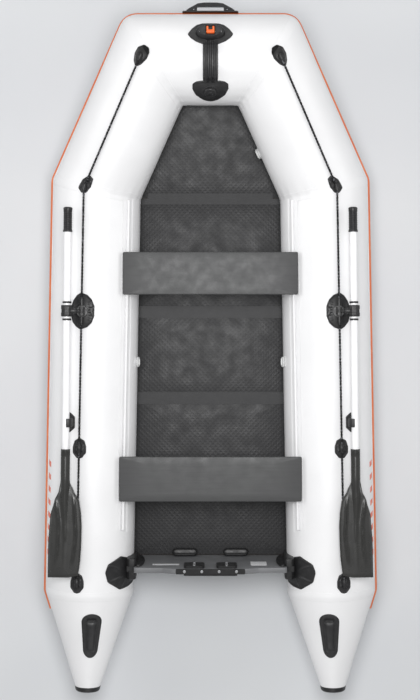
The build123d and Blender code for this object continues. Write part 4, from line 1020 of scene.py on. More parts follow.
def build_transom():
    shoulder = TRANSOM_HEIGHT - 19.0
    corners = [(TRANSOM_HALF - 40, -TRANSOM_DROP), (TRANSOM_HALF, 30 - TRANSOM_DROP), (TRANSOM_HALF, shoulder),
               (CLAMP_HALF + 60, shoulder), (CLAMP_HALF, TRANSOM_HEIGHT)]
    corners += [(-x, y) for x, y in corners[::-1]]
    outline = rounded(corners, [4, 4, 14, 14, 14, 14, 14, 14, 4, 4], 10.0)
    face = lambda x, y, z: transom_place(x, y, z - TRANSOM)
    Shape().slab(outline, eased(TRANSOM, 3.0), face, rings=3).make(
        "transom_panel", [transom_paint], ["transom_board"], "transom_plywood")
    label = Shape()
    label.slab(block_outline(129, 26, 2, 6), [(0, 0.1), (0, 0.5), (0.3, 0.6)], shifted(transom_place, -215, 208, 0))
    label.slab(block_outline(77, 84, 3, 6), [(0, 0.1), (0, 0.5), (0.3, 0.6)], shifted(transom_place, 233, 188, 0))
    label.make("blank_labels", [label_film], ["transom_board"], "transom_plywood", replace=False)


def build_rail_bases():
    """Wide strips of tape on the inner flank of each side tube, that carry the seats' rails."""
    low, high = node_box("seat_rails")
    arc = [(-57.0, 0.2), (-57.6, 1.4)] + [(-58.5 - 19.5 * n / 10, 1.9) for n in range(11)] + [(-79.0, 1.4),
                                                                                              (-79.6, 0.2)]
    arc += [(-79.0 + 22.0 * n / 6, -1.0) for n in range(7)]
    rows = [[SIDE.skin(between(low.y - 12.0, high.y + 12.0, n / 40), angle, lift) for angle, lift in arc]
            for n in range(41)]
    both_sides(Shape().rows(rows), "{side}_rail_base", [seam_tape_white], ["seat_rails"], "pvc_white", replace=False)


# ---------------------------------------------------------------- rubber patches and ropes

ROPE_OFFSET = 47.0
ROPE_LIFT = 6.5
EYELET_YS = (-466.0, -1107.0)
BOW_EYELET_Y = 1391.0
BOW_EYELET_ANGLE = 10.5
ROPE_ANGLE = degrees(asin(ROPE_OFFSET / (TUBE + ROPE_LIFT)))
PATCH = [(0, -0.6), (0, 1.6), (0.6, 2.6), (1.8, 3.2)]      # profile of a moulded patch, from its glued foot


def ridge(distance, half, height):
    """Height of a rounded rib at a distance from its middle line."""
    return height * smooth(1.0 - abs(distance) / half)


def rope_point(y):
    return SIDE.skin(y, ROPE_ANGLE, ROPE_LIFT)


def rope_corners():
    beside = rope_point(SHOULDER_Y)
    shoulder = meet(beside, SIDE.along, SIDE.end, SHOULDER_NORMAL)
    return rope_point(EYELET_YS[-1] - 16.0), shoulder, SLANT.skin(BOW_EYELET_Y, BOW_EYELET_ANGLE, ROPE_LIFT)


def build_lifeline(radius):
    """An eight-strand braid, drawn round the line from the stern eyelet to the bow eyelet."""
    tail, shoulder, bow = rope_corners()
    bend = turn(tail, shoulder, bow, 60.0, 10)
    step, lay = 1.9, 15.0
    path = [tail] + spread(tail, bend[0], int((bend[0] - tail).length / step)) + bend
    path += spread(bend[-1], bow, int((bow - bend[-1]).length / step)) + [bow]
    walked, count = [0.0], 20
    for a, b in zip(path, path[1:]):
        walked.append(walked[-1] + (b - a).length)
    def section(number):
        ring, turned = [], 2 * pi * walked[number] / lay
        for n in range(count):
            angle = 2 * pi * n / count
            right, left = cos(2 * angle + turned), cos(2 * angle - turned)
            size = radius * (0.93 + 0.12 * max(right, left))
            ring.append((size * cos(angle), size * sin(angle)))
        return ring
    both_sides(Shape().sweep(path, section), "{side}_lifeline_braid", [rope_black], ["{side}_lifeline"], "rope_black",
               crease=80)


def hump(shape, centre, along, up, long, radius, finish=0):
    """A rounded sleeve that a rope runs through, with a bead at each mouth."""
    ends = [(-long / 2, 0.62), (-long / 2, 0.8), (-long / 2 + 0.8, 0.98), (-long / 2 + 3.5, 1.0), (-long / 2 + 5, 0.88),
            (-long / 2 + 9, 0.92), (-long / 4, 1.04), (0, 1.08)]
    ends += [(-d, s) for d, s in ends[-2::-1]]
    path, sizes = [centre + along * d for d, _ in ends], [s * radius for _, s in ends]
    side = along.cross(up).normalized()
    above = side.cross(along)
    rows = [[p + side * (r * cos(2 * pi * n / 24)) + above * (r * sin(2 * pi * n / 24)) for n in range(24)]
            for p, r in zip(path, sizes)]
    return shape.rows(rows, finish=finish)


def build_eyelets():
    """Moulded eyelets glued along the lifeline: a waisted patch with two raised lips and a sleeve."""
    long_outline = rounded([(50, 0), (36, 24), (8, 33), (-22, 33), (-46, 14), (-50, 0), (-46, -14), (-22, -33),
                            (8, -33),
                            (36, -24)], [9, 12, 14, 16, 12, 8, 12, 16, 14, 12], 4.0)
    small_outline = rounded([(44, 0), (24, 24), (-16, 29), (-38, 14), (-42, 0), (-38, -14), (-16, -29), (24, -24)],
                            11.0, 4.0)
    def lips(x, y, inset):
        rim = ridge(inset - 5.0, 3.5, 1.3)
        lens = ridge(hypot(x * 0.62, abs(y) - 14.0) - 7.0, 3.0, 2.0) + ridge(abs(y) - 14.0, 10.0,
                                                                             3.0) * smooth(22.0 - abs(x), 0, 12)
        return rim + lens
    eyelets = Shape()
    for y in EYELET_YS:
        eyelets.slab(long_outline, PATCH, hull_lie(ROPE_ANGLE, y), rings=12, relief=lips)
        hump(eyelets, rope_point(y), SIDE.along, SIDE.radial(ROPE_ANGLE), 44.0, 10.5)
    _, shoulder, bow = rope_corners()
    lean = side_angle((shoulder - SIDE.end).normalized()
                      - SIDE.along * (shoulder - SIDE.end).normalized().dot(SIDE.along))
    eyelets.slab(small_outline, PATCH, hull_lie(lean, SHOULDER_Y + 2.0), rings=12, relief=lips)
    middle = (SIDE.along + SLANT.along).normalized()
    hump(eyelets, shoulder - SIDE.radial(ROPE_ANGLE) * 1.0, middle, SIDE.radial(ROPE_ANGLE), 40.0, 10.5)
    rope_way = (bow - shoulder).normalized()
    patch = [(62, -6), (58, 22), (38, 34), (6, 34), (-26, 20), (-44, 4), (-44, -8), (-24, -24), (8, -34), (40, -30)]
    outline = rounded(patch, 14.0, 4.0)
    flat = square(bow, rope_way, SLANT.radial(BOW_EYELET_ANGLE) + Vector((0, 0.12, 0.1)))
    def bow_place(x, y, z):
        guess = flat(x - 8.0, y, 0.0)
        return drape(guess, z)
    def crescents(x, y, inset):
        return ridge(inset - 6.0, 4.0, 2.2) + ridge(hypot(x - 8, y) - 13.0, 5.0, 2.4)
    eyelets.slab(outline, PATCH, bow_place, rings=14, relief=crescents)
    hump(eyelets, bow - rope_way * 6.0, rope_way, SLANT.radial(BOW_EYELET_ANGLE), 34.0, 11.0)
    both_sides(eyelets, "{side}_lifeline_eyelets", [rubber_black], ["lifeline_eyelets"], "black_rubber")


def drape(guess, lift):
    """Puts a point near the bow on the skin of the slanted or the cross tube, whichever lies under it."""
    best = None
    for run in (SLANT, BOW):
        away = guess - run.start
        axis = run.start + run.along * away.dot(run.along)
        off = guess - axis
        spot = axis + off.normalized() * (TUBE + lift) if off.length > 1 else axis
        inside = away.dot(run.along)
        if run is BOW and inside < 0 or run is SLANT and (guess - CORNER).dot(CORNER_NORMAL) > 0:
            continue
        best = spot if best is None else (spot + best) / 2
    return best if best is not None else guess


# ---------------------------------------------------------------- bow fittings

EYE_ANGLE = 24.0
TOW_PAD_ANGLE = -54.0


def build_rope_lock():
    """Bow eye: a lens-shaped patch, a housing with a rolled rim, and a slot for the tow rope."""
    lock = Shape()
    half = [(0, -62), (38, -61), (64, -50), (88, -24), (107, 6), (92, 26), (68, 44), (40, 56), (20, 59)]
    outline = rounded(half + [(-x, y) for x, y in half[:0:-1]], 12.0, 5.0)
    def rim(x, y, inset):
        return ridge(inset - 5.0, 4.5, 2.2) + ridge(y - 34.0 + x * x / 300.0, 5.0, 3.0) * smooth(66.0 - abs(x), 0, 20)
    lock.slab(outline, PATCH, bow_lie(EYE_ANGLE), rings=12, relief=rim)
    house = [(66 * cos(2 * pi * n / 72), 36 * sin(2 * pi * n / 72)) for n in range(72)]
    def bowl(x, y, inset):
        slot = -9.0 * smooth(20.0 - abs(x), -2, 3) * smooth(24.0 - abs(y + 2.0), -2, 3)
        way = -5.0 * smooth(8.0 - abs(x), -1, 2)
        return min(slot, way if y < 0 else 0.0) + ridge(inset - 4.0, 3.5, 1.5) * (abs(x) > 24)
    seat = square(Vector((0, CORNER.y, BOW_Z)) + BOW.radial(EYE_ANGLE) * TUBE, (1, 0, 0), BOW.radial(EYE_ANGLE))
    lock.slab(house, [(-4, -8), (-3, 6), (-1, 14), (1, 22), (3, 27), (6, 30.5), (10, 32)], shifted(seat, 0, 0, 0),
              rings=16,
              relief=bowl)
    lock.make("rope_lock_housing", [rubber_black], ["rope_lock_body"], "black_rubber")
    bolt = Shape()
    for side in (-1, 1):
        bolt.lathe([(5.5, -2), (5.5, 2.2), (4.2, 3.4), (1.5, 3.6)], shifted(seat, side * 48.0, -10.0, 28.0), 20)
    bolt.make("rope_lock_bolts", [steel], ["rope_lock_pin"], "stainless_steel", replace=False)
    lever = Shape()
    for side in (-1, 1):
        lever.slab(block_outline(9.5, 30, 3, 3), eased(7.0, 1.8), shifted(seat, side * 14.0, 4.0, 24.0), rings=2)
    lever.slab(block_outline(38, 18, 6, 3), eased(12.5, 3.0), shifted(seat, 0.0, -10.0, 20.0), rings=3)
    for across in (-14.0, -10.0, -6.0):
        lever.slab(block_outline(24, 1.8, 0.8, 2), [(0, 0), (0, 1.0), (0.4, 1.4)], shifted(seat, 0, across, 32.3),
                   rings=1)
    lever.make("rope_lock_catch", [plastic_orange], ["rope_lock_lever"], "orange_plastic")


def build_tow_strap():
    """Ribbed strap over the bow tube, with the heart-shaped patch that it ends in."""
    strap = Shape()
    first, last, count = 10.0, -36.0, 28
    rows = []
    for n in range(count + 1):
        angle = between(first + 2.0, last - 2.0, n / count)
        rise = 14.0 * smooth(min(n, count - n), 0.5, 5.0)
        section = [(-34, 1), (-35, 4), (-34, 7), (-30, 8)]
        for rib in (-20, 0, 20):
            section += [(rib - 7, 8), (rib - 4.5, 13.0), (rib, 15.0), (rib + 4.5, 13.0), (rib + 7, 8)]
        section += [(30, 8), (34, 7), (35, 4), (34, 1), (0, 0)]
        away = BOW.radial(angle)
        centre = Vector((0, CORNER.y, BOW_Z))
        rows.append([centre + Vector((x, 0, 0)) + away * (TUBE + rise + z) for x, z in section])
    strap.rows(rows)
    right = [(0, 74), (16, 70), (36, 58), (70, 20), (85, -18), (84, -46), (66, -58), (44, -62)]
    outline = rounded(right + [(-x, y) for x, y in right[:0:-1]], 14.0, 5.0)
    def heart(x, y, inset):
        return ridge(inset - 5.0, 4.5, 2.0) + ridge(hypot(x, y - 4) - 36.0, 4.0, 2.6)
    place = bow_lie(TOW_PAD_ANGLE)
    strap.slab(outline, PATCH, place, rings=14, relief=heart)
    strap.lathe([(30, 0), (30, 4), (28.5, 6), (27, 9), (24, 11.5), (20, 12.2), (17, 11.2), (13, 11.0), (10, 12.8),
                 (4, 13.4)],
                shifted(place, 0, 4, 0), 44)
    strap.make("tow_strap_and_patch", [rubber_black], ["bow_tow_strap"], "black_rubber", crease=50)


# ---------------------------------------------------------------- oars

OARLOCK = (607.0, 184.0)
OAR_Z = 464.0
OAR_ARM = 70.0
OAR_SPLAY = 0.59
OAR_FRONT = 490.0
OAR_BACK = 1258.0
SHAFT = 17.0
HOLDER_Y = -344.0


def oar_place(x, y, z):
    """On the oar: X outboard and Y forward from the collar's centre."""
    lean = radians(OAR_SPLAY)
    out, fore = Vector((cos(lean), sin(lean), 0)), Vector((-sin(lean), cos(lean), 0))
    return Vector((*OARLOCK, OAR_Z)) + out * (OAR_ARM + x) + fore * y + Vector((0, 0, z))


def rod_rows(profile, steps=32):
    """Rings of a turned shape along the oar: (distance forward, radius) pairs."""
    return [[oar_place(r * cos(2 * pi * n / steps), y, r * sin(2 * pi * n / steps)) for n in range(steps)]
            for y, r in profile]


def graph(points, value):
    """Reads a value off a line through (place, value) points, eased between them."""
    if value <= points[0][0]:
        return points[0][1]
    for (a, low), (b, high) in zip(points, points[1:]):
        if value <= b:
            return between(low, high, smooth(value, a, b) * 0.5 + 0.5 * (value - a) / (b - a))
    return points[-1][1]


OUTBOARD_EDGE = [(806, 22), (850, 30), (896, 50), (968, 69), (1096, 77), (1253, 78)]
INBOARD_EDGE = [(806, 22), (850, 42), (896, 68), (960, 77), (1015, 80), (1096, 79), (1160, 76), (1253, 66)]
SIDE_RIBS = ([(880, 43), (1000, 29), (1100, 30), (1200, 43)], [(870, -40), (940, -46), (1050, -53), (1200, -38)])
SPINE = [(652, 22), (790, 22), (860, 17), (1000, 9), (1130, 6.5), (1235, 5)]
SPINE_BOW = [(800, 0), (900, 2), (1030, -3), (1150, 0), (1250, 3)]


def blade_section(v, steps=40):
    """Ring of points round the blade at a distance aft of the collar."""
    outboard, inboard = graph(OUTBOARD_EDGE, v), graph(INBOARD_EDGE, v)
    tip = smooth(v, OAR_BACK - 14.0, OAR_BACK)
    spine, bow = graph(SPINE, v), graph(SPINE_BOW, v) if v > 800 else 0.0
    flat = smooth(v, 800, 880)
    middle, half = (outboard - inboard) / 2, (outboard + inboard) / 2
    top, bottom = [], []
    for n in range(steps + 1):
        x = middle + half * cos(pi * n / steps)
        edge = half - abs(x - middle)
        plate = 4.2 * sqrt(min(1.0, max(0.0, edge) / 4.0)) * flat
        dish = 3.0 * flat * (abs(x) / 80.0) ** 2
        bar = sqrt(max(0.0, spine ** 2 - (x - bow) ** 2)) if abs(x - bow) < spine else 0.0
        lift = 0.0
        for line in SIDE_RIBS:
            middle_line = graph(line, v)
            fade = smooth(v, line[0][0], line[0][0] + 60) * (1 - smooth(v, line[-1][0] - 50, line[-1][0]))
            lift = max(lift, ridge(x - middle_line, 8.0, 8.0) * fade)
        rim = ridge(edge - 4.0, 3.5, 1.2) * flat
        up = max(plate + lift + rim - dish, bar)
        down = max(plate + lift * 0.5 + dish, bar * (1 - 0.5 * flat))
        top.append((x, up * (1 - 0.55 * tip)))
        bottom.append((x, -down * (1 - 0.55 * tip)))
    return top + bottom[-2:0:-1]


def build_oars():
    shaft = Shape().rows(rod_rows([(-748, 15.0), (-747, SHAFT), (-600, SHAFT)]
                                  + [(y, SHAFT) for y in range(-500, 450, 100)]
                                  + [(470, SHAFT), (476, 15.0)]))
    for y in (-36.0, 36.0):
        way = 1 if y > 0 else -1
        shaft.rows(rod_rows([(y, 17.2), (y, 20.5), (y + way * 2, 21.2), (y + way * 7, 21.2), (y + way * 9, 20.5),
                             (y + way * 9, 17.2)]),
                   finish=1)
    both_sides(shaft, "{side}_oar_tube", [shaft_white, nylon_black], ["{side}_oar_shaft"], "white_aluminium")
    end, low = OAR_FRONT, OAR_FRONT - 118.0
    profile = [(low, 17.2), (low, 20.5), (low + 2, 22.6), (low + 7, 22.6), (low + 9, 20.6)]
    for n in range(8):
        start = low + 14 + n * 10.5
        profile += [(start, 20.6), (start + 2, 19.4), (start + 7, 19.8), (start + 9, 20.9)]
    profile += [(end - 12, 21.0), (end - 7, 22.0), (end - 3, 20.0), (end - 0.6, 15.0), (end, 8.0)]
    both_sides(Shape().rows(rod_rows(profile)), "{side}_oar_handgrip", [nylon_black], ["{side}_oar_grip"],
               "black_plastic")
    stations = [652, 653.5, 656, 662, 664, 690, 730, 770] + list(range(790, 1244, 9)) + [1244, 1248, 1252, 1255, 1257,
                                                                                         1258]
    rows = []
    for v in stations:
        collar = 0.9 if v < 655 else (1.09 if v < 663 else 1.0)
        # the tip is cut at a slant: its inboard corner is further forward
        rows.append([oar_place(x, -(v - 9.0 * smooth(v, 1225, 1258) * smooth(-x, 10, 70)), z * collar if v < 700 else z)
                     for x, z in blade_section(v)])
    blade = Shape().rows(rows)
    both_sides(blade, "{side}_oar_paddle", [blade_plastic], ["{side}_oar_blade"], "black_plastic", crease=50)
    collar = Shape()
    eight = [(26.5, 11), (11, 26.5), (-11, 26.5), (-26.5, 11), (-26.5, -11), (-11, -26.5), (11, -26.5), (26.5, -11)]
    ring = rounded(eight, 3.0, 5.0)
    inward, _ = facing_in(ring)
    rows = []
    for y, inset in ((-27, 7), (-27, 3), (-25.6, 0.8), (-23, 0), (-9, 0), (-7, 1.6), (7, 1.6), (9, 0), (23, 0),
                     (25.6, 0.8), (27, 3), (27, 7)):
        rows.append([oar_place(x + i * inset, y, z + j * inset) for (x, z), (i, j) in zip(ring, inward)])
    collar.rows(rows)
    boss = square(oar_place(-20, 0, 0), oar_place(-20, 1, 0) - oar_place(-20, 0, 0),
                  oar_place(-21, 0, 0) - oar_place(-20, 0, 0))
    collar.lathe([(16, 0), (16, 16), (15, 20), (14, 24), (13, 26.5), (9.5, 27)], boss, 32)
    both_sides(collar, "{side}_oar_clamp", [nylon_black], ["{side}_oar_collar"], "black_plastic")


def build_oarlocks():
    """Oarlock base: a long oval moulding with ribs on its inboard side, a boss and a rope tunnel."""
    x, y = OARLOCK
    angle = degrees(asin((x - SIDE.centre(y).x) / TUBE))
    base = Shape()
    outline = rounded([(90, 8), (78, -22), (56, -44), (24, -57), (-24, -57), (-56, -45), (-76, -24), (-88, 8),
                       (-74, 30),
                       (-50, 50), (-20, 58), (22, 58), (52, 48), (76, 30)], 16.0, 6.0)
    def ribs(u, v, inset):
        bars = ridge((u + 60.0) % 12.0 - 6.0, 3.2, 2.6) * smooth(-v, 26, 34) * smooth(52.0 - abs(u), 0,
                                                                                      12) * smooth(inset, 6, 10)
        return ridge(inset - 4.5, 4.0, 2.2) + bars + 5.0 * smooth(1.0 - hypot(u * 0.8, v) / 46.0)
    base.slab(outline, [(0, -0.6), (0, 3.0), (1.0, 5.0), (3.0, 6.2)], hull_lie(angle, y), rings=16, relief=ribs)
    stand = square((x, y, 400.0), (1, 0, 0), (0, 0, 1))
    top = OAR_Z - 20.0 - 400.0
    base.lathe([(40, -8), (38, 8), (34, 18), (30, 26), (28, 32), (28, top - 2), (26.5, top - 0.3), (15, top)], stand,
               44)
    for n in range(6):
        spin = pi / 3 * n + pi / 6
        fin = square((x + 27 * cos(spin), y + 27 * sin(spin), 396.0), (cos(spin), sin(spin), 0), (0, 0, 1))
        base.slab(block_outline(26, 5, 2, 3), [(0, 0), (0, 18), (3, 26), (9, 32)][:3] + [(2.2, 30)], fin, rings=1)
    hump(base, rope_point(y), SIDE.along, SIDE.radial(ROPE_ANGLE), 128.0, 10.5)
    both_sides(base, "{side}_oarlock_socket", [nylon_black], ["oarlock_bases"], "black_plastic")


def build_oar_holders():
    """Clips that the stowed shafts lie in: a half-round patch with a hooked saddle."""
    centre = SIDE.centre(HOLDER_Y)
    back = (HOLDER_Y - OARLOCK[1]) / cos(radians(OAR_SPLAY))
    spot = oar_place(0, back, 0)
    angle = degrees(asin((spot.x - 6.0 - centre.x) / TUBE))
    holder = Shape()
    outline = rounded([(54, 20), (46, -12), (26, -36), (-26, -36), (-46, -12), (-54, 20), (-30, 34), (30, 34)], 12.0,
                      5.0)
    def rim(x, y, inset):
        return ridge(inset - 4.5, 4.0, 2.0) + ridge(hypot(x, y + 2) - 22.0, 4.0, 1.6)
    holder.slab(outline, PATCH, hull_lie(angle, HOLDER_Y), rings=10, relief=rim)
    lip = SHAFT + FIT
    hook = [(-30, -62), (6, -62), (6, -30), (2, -lip - 3), (0, -lip)]
    hook += [(-lip * sin(pi * n / 16), -lip * cos(pi * n / 16)) for n in range(1, 16)]
    hook += [(-3, lip), (-4, lip + 5), (-12, lip + 6.5), (-22, lip + 3), (-27, lip - 6), (-30, 0)]
    rows = []
    for y, inset in ((-20, 2.2), (-18.6, 0.6), (-16, 0), (16, 0), (18.6, 0.6), (20, 2.2)):
        inward, _ = facing_in(hook)
        rows.append([oar_place(x + i * inset, back + y, z + j * inset) for (x, z), (i, j) in zip(hook, inward)])
    holder.rows(rows, caps=(False, False))
    holder_caps(holder, rows)
    both_sides(holder, "{side}_oar_clip", [rubber_black], ["oar_holders"], "black_rubber", crease=45)


def holder_caps(shape, rows):
    """Flat ends of a hooked section, cut into triangles that stay inside it."""
    for row in (rows[0], rows[-1]):
        triangles = tessellate_polygon([row])
        shape.take(row, [tuple(t) for t in triangles])


# ---------------------------------------------------------------- transom and stern fittings

def build_transom_holders():
    """Rubber sockets glued on the tubes, one at each end of the transom."""
    holder = Shape()
    angle = -54.0
    outline = rounded([(80, 26), (46, 98), (8, 112), (-40, 98), (-80, 30), (-72, -30), (-56, -88), (40, -92),
                       (66, -40)],
                      [16, 22, 30, 22, 18, 30, 16, 16, 24], 6.0)
    def fan(x, y, inset):
        spoke = 0.0
        for lean in (-50.0, -18.0, 18.0, 50.0):
            across = x * cos(radians(lean)) - (y + 30.0) * sin(radians(lean))
            spoke = max(spoke, ridge(across, 6.0, 3.0) * smooth(y, -10, 30) * smooth(inset, 4, 12))
        return ridge(inset - 5.0, 4.5, 2.4) + spoke
    holder.slab(outline, [(0, -0.6), (0, 2.6), (0.8, 4.0), (2.4, 5.0)], hull_lie(angle, -1068.0), rings=18, relief=fan)
    inner, outer = TRANSOM_HALF - 10.0, TRANSOM_HALF + 36.0
    block = [(inner, 62), (outer - 18, 62), (outer, 110), (outer, 238), (outer - 12, 256), (inner + 8, 258),
             (inner, 246)]
    section = rounded(block, 7.0, 6.0)
    for start, end in ((0.3, 39.0), (-25.3, -64.0)):
        way = 1 if end > start else -1
        profile = [(0, 0), (0, abs(end - start) - 8), (1.5, abs(end - start) - 3), (5, abs(end - start))]
        place = lambda x, y, z, s=start, w=way: transom_place(x, y, s + w * z)
        holder.slab(section, profile, place, rings=3)
    back = rounded([(TRANSOM_HALF + 1, 62), (outer, 62), (outer, 250), (TRANSOM_HALF + 1, 250)], 3.0, 8.0)
    holder.slab(back, [(0, -27), (0, 1)], lambda x, y, z: transom_place(x, y, z), rings=1)
    cup = [(TRANSOM_HALF - 20 + 27 * cos(2 * pi * n / 48), 150 + 112 * sin(2 * pi * n / 48)) for n in range(48)]
    def dish(x, y, inset):
        return ridge(inset - 4.0, 3.5, 1.5) - 2.0 * smooth(inset, 8, 16)
    holder.slab(cup, [(0, 0.2), (0, 6), (1.2, 8.4), (3, 9.2)], transom_place, rings=8, relief=dish)
    both_sides(holder, "{side}_transom_socket", [rubber_black], ["transom_holders"], "black_rubber", crease=45)


def build_retainers():
    """Round-ended rubber blocks that hold the floor's aft edge down."""
    low, high = node_box("floor_retainers")
    blocks = Shape()
    deep, tall = high.y - low.y, high.z - low.z
    long = 121.0
    middle = (low.y + high.y) / 2
    ends = []
    for side in (1, -1):
        for n in range(13):
            a = pi / 2 - pi * n / 12 if side > 0 else -pi / 2 - pi * n / 12
            ends.append((side * (long - deep) / 2 + deep / 2 * cos(a), deep / 2 * sin(a)))
    def lid(x, y, inset):
        return ridge(inset - 3.0, 3.0, 1.2) + 1.5 * smooth(1 - abs(y) / 9.0)
    for side in (-1, 1):
        place = square((side * (high.x - long / 2), middle, low.z), (1, 0, 0), (0, 0, 1))
        blocks.slab(even(ends, 5.0), [(0, 0), (0, 6), (-1.5, 8), (-1.5, 12), (0, 14), (0, tall - 9), (1.6, tall - 5),
                                      (4.5, tall - 3), (7, tall - 2.4)],
                    place, rings=4, relief=lid)
    blocks.make("floor_edge_blocks", [rubber_black], ["floor_retainers"], "black_rubber")


def cone_lie(y, offset):
    """Lays a flat shape on the starboard tail cone's upper side: X forward, Y outboard."""
    share = (y - CONE_Y) / (CONE_END_Y - CONE_Y)
    radius = between(TUBE, CONE_END, share)
    def place(x, across, height):
        here = (y + x - CONE_Y) / (CONE_END_Y - CONE_Y)
        axis = side_point(y + x) + Vector((0, 0, CONE_LIFT * here))
        size = between(TUBE, CONE_END, here)
        turned = (offset + across) / radius
        away = SIDE.out * sin(turned) + Vector((0, 0, 1)) * cos(turned)
        return axis + away * (size + height)
    return place


def build_stern_handles():
    """Grab handles: a round-ended patch on the tail cone with a raised rubber grip."""
    y, offset, long, wide = -1368.0, -22.0, 222.0, 84.0
    place = cone_lie(y, offset)
    patch = []
    for side in (1, -1):
        for n in range(17):
            a = pi / 2 - pi * n / 16 if side > 0 else -pi / 2 - pi * n / 16
            patch.append((side * (long - wide) / 2 + wide / 2 * cos(a), wide / 2 * sin(a)))
    def rim(u, v, inset):
        return ridge(inset - 5.0, 4.5, 2.2)
    handle = Shape().slab(even(patch, 6.0), PATCH, place, rings=12, relief=rim)
    rows = []
    for n in range(31):
        u = between(-80.0, 80.0, n / 30)
        rise = 24.0 * sqrt(max(0.0, 1 - (abs(u) / 80.0) ** 4)) + 3.0
        thick = 7.0 + 2.0 * (1 - abs(u) / 80.0)
        half = 17.0 + 3.0 * smooth(abs(u), 50, 80)
        ring = [(half * cos(2 * pi * k / 24), thick / 2 * sin(2 * pi * k / 24) * (1.0 + 0.12 * cos(6 * pi * k / 24)))
                for k in range(24)]
        rows.append([place(u, v, rise + w) for v, w in ring])
    handle.rows(rows)
    for side in (-1, 1):
        handle.slab(block_outline(26, 40, 8, 4), [(0, 0), (0, 9), (1.5, 14), (5, 17)], shifted(place, side * 70.0),
                    rings=3)
    both_sides(handle, "{side}_stern_grab_handle", [rubber_black], ["stern_handles"], "black_rubber", crease=45)


def build_valves():
    """Inflation valves: a flange with a knurled rim round each barrel, and a winged cap."""
    spots = (("starboard", SIDE, -54.0, -78.0), ("bow", SLANT, 1040.0, -102.0))
    bodies = Shape()
    for name, run, y, angle in spots:
        seat = square(run.skin(y, angle), run.along, run.radial(angle))
        ring = Shape()
        ring.lathe([(27, -3), (28, 1.5), (27.4, 3.4), (25.5, 4.6), (24.0, 4.0), (22.5, 4.6), (20, 5.0), (20, 9.6),
                    (16, 9.8)], seat, 48)
        bodies.join(ring)
        if name == "starboard":
            bodies.join(ring.mirrored())
        cap = Shape()
        knurl = [(24.0 + 0.7 * cos(2 * pi * n * 18 / 144)) for n in range(144)]
        rows = []
        for share, z in ((0.96, 5.6), (1, 6.2), (1, 12.6), (0.97, 13.8), (0.9, 14.3), (0.86, 13.7), (0.5, 13.7)):
            rows.append([seat(r * share * cos(2 * pi * n / 144), r * share * sin(2 * pi * n / 144), z) for n,
                         r in enumerate(knurl)])
        cap.rows(rows)
        cap.slab(block_outline(34, 6, 2.5, 2), [(0, 13), (0, 16.5), (0.8, 17.6), (2, 18)], seat, rings=1)
        if name == "bow":
            cap.make("bow_valve_lid", [valve_plastic], ["bow_valve_cap"], "valve_plastic")
        else:
            both_sides(cap, "{side}_valve_lid", [valve_plastic], ["{side}_valve_cap"], "valve_plastic")
    bodies.make("valve_flanges", [valve_plastic], ["valve_bodies"], "valve_plastic")


def build_side_graphics():
    """A plain row of slanted bars on the outside of each side tube, where such boats carry their printing."""
    bars = Shape()
    first, pitch, count = -548.0, 62.0, 8
    for n in range(count):
        y = first - n * pitch
        tall = 44.0
        outline = rounded([(-13 + 6, tall / 2), (13 + 6, tall / 2), (13 - 6, -tall / 2), (-13 - 6, -tall / 2)], 3.0,
                          6.0)
        bars.slab(outline, [(0, -0.4), (0, 0.35), (0.3, 0.45)], hull_lie(70.0, y), rings=4)
    both_sides(bars, "{side}_side_bars", [print_orange], ["{side}_side_tube"], "strake_rubber", replace=False)


KEPT = (
    (joiner_black, ("floor_joiners", "floor_stringers")),
    (coated_fabric_grey, ("keel_guard",)),
    (nylon_black, ("bow_handle", "starboard_oarlock", "port_oarlock", "motor_plates")),
    (steel, ("transom_fasteners", "rope_lock_pin")),
    (seam_tape_white, ("seat_rails",)),
    (rubber_black, ("front_seat_runners", "rear_seat_runners")),
    (valve_plastic, ("drain_body", "drain_plug", "starboard_valve_poppet", "port_valve_poppet", "bow_valve_poppet")),
)


def build_kept():
    for maker, nodes in KEPT:
        for node in nodes:
            for place in frame["nodes"][node].material_slots:
                place.material = finish(maker)


# ---------------------------------------------------------------- stage

CAMERA_HEIGHT = 7.0     # metres over the floor
LENS = 71.27


def build_stage():
    scene = bpy.context.scene
    low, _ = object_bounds()
    half = 9.0
    mesh = bpy.data.meshes.new("stage_floor")
    corners = [(-half, -half, 0), (half, -half, 0), (half, half, 0), (-half, half, 0)]
    mesh.from_pydata([(x, y, low.z - 0.001) for x, y, _ in corners], [], [(0, 1, 2, 3)])
    mesh.materials.append(finish(stage_paper))
    floor = bpy.data.objects.new("stage_floor", mesh)
    scene.collection.objects.link(floor)
    floor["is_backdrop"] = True

    camera = bpy.data.objects.new("top_camera", bpy.data.cameras.new("top_camera"))
    camera.data.lens = LENS
    camera.data.sensor_width = 36.0
    camera.location = (-0.002, 0.0, CAMERA_HEIGHT)
    camera.data.clip_end = 100.0
    scene.collection.objects.link(camera)
    scene.camera = camera

    for name, spot, size, power, aim in (
            ("overhead_softbox", (0.0, 0.4, 5.2), 2.4, 165.0, (0, 0, 0)),
            ("port_softbox", (-4.6, 1.2, 2.6), 3.0, 60.0, (0, 0, 0.2)),
            ("starboard_softbox", (4.6, 1.0, 2.6), 3.0, 48.0, (0, 0, 0.2)),
            ("bow_softbox", (0.0, 5.0, 3.0), 3.0, 45.0, (0, 0.5, 0.2)),
            ("stern_softbox", (0.0, -5.0, 3.0), 3.0, 35.0, (0, -0.5, 0.2))):
        data = bpy.data.lights.new(name, "AREA")
        data.shape, data.size, data.energy = "DISK", size, power
        light = bpy.data.objects.new(name, data)
        light.location = spot
        light.rotation_euler = (Vector(aim) - Vector(spot)).to_track_quat("-Z", "Y").to_euler()
        scene.collection.objects.link(light)

    world = bpy.data.worlds.new("studio")
    world.use_nodes = True
    world.node_tree.nodes["Background"].inputs["Color"].default_value = linear("F6F6F6")
    world.node_tree.nodes["Background"].inputs["Strength"].default_value = 0.34
    scene.world = world
    scene.view_settings.view_transform = "Standard"


# ---------------------------------------------------------------- the add-on

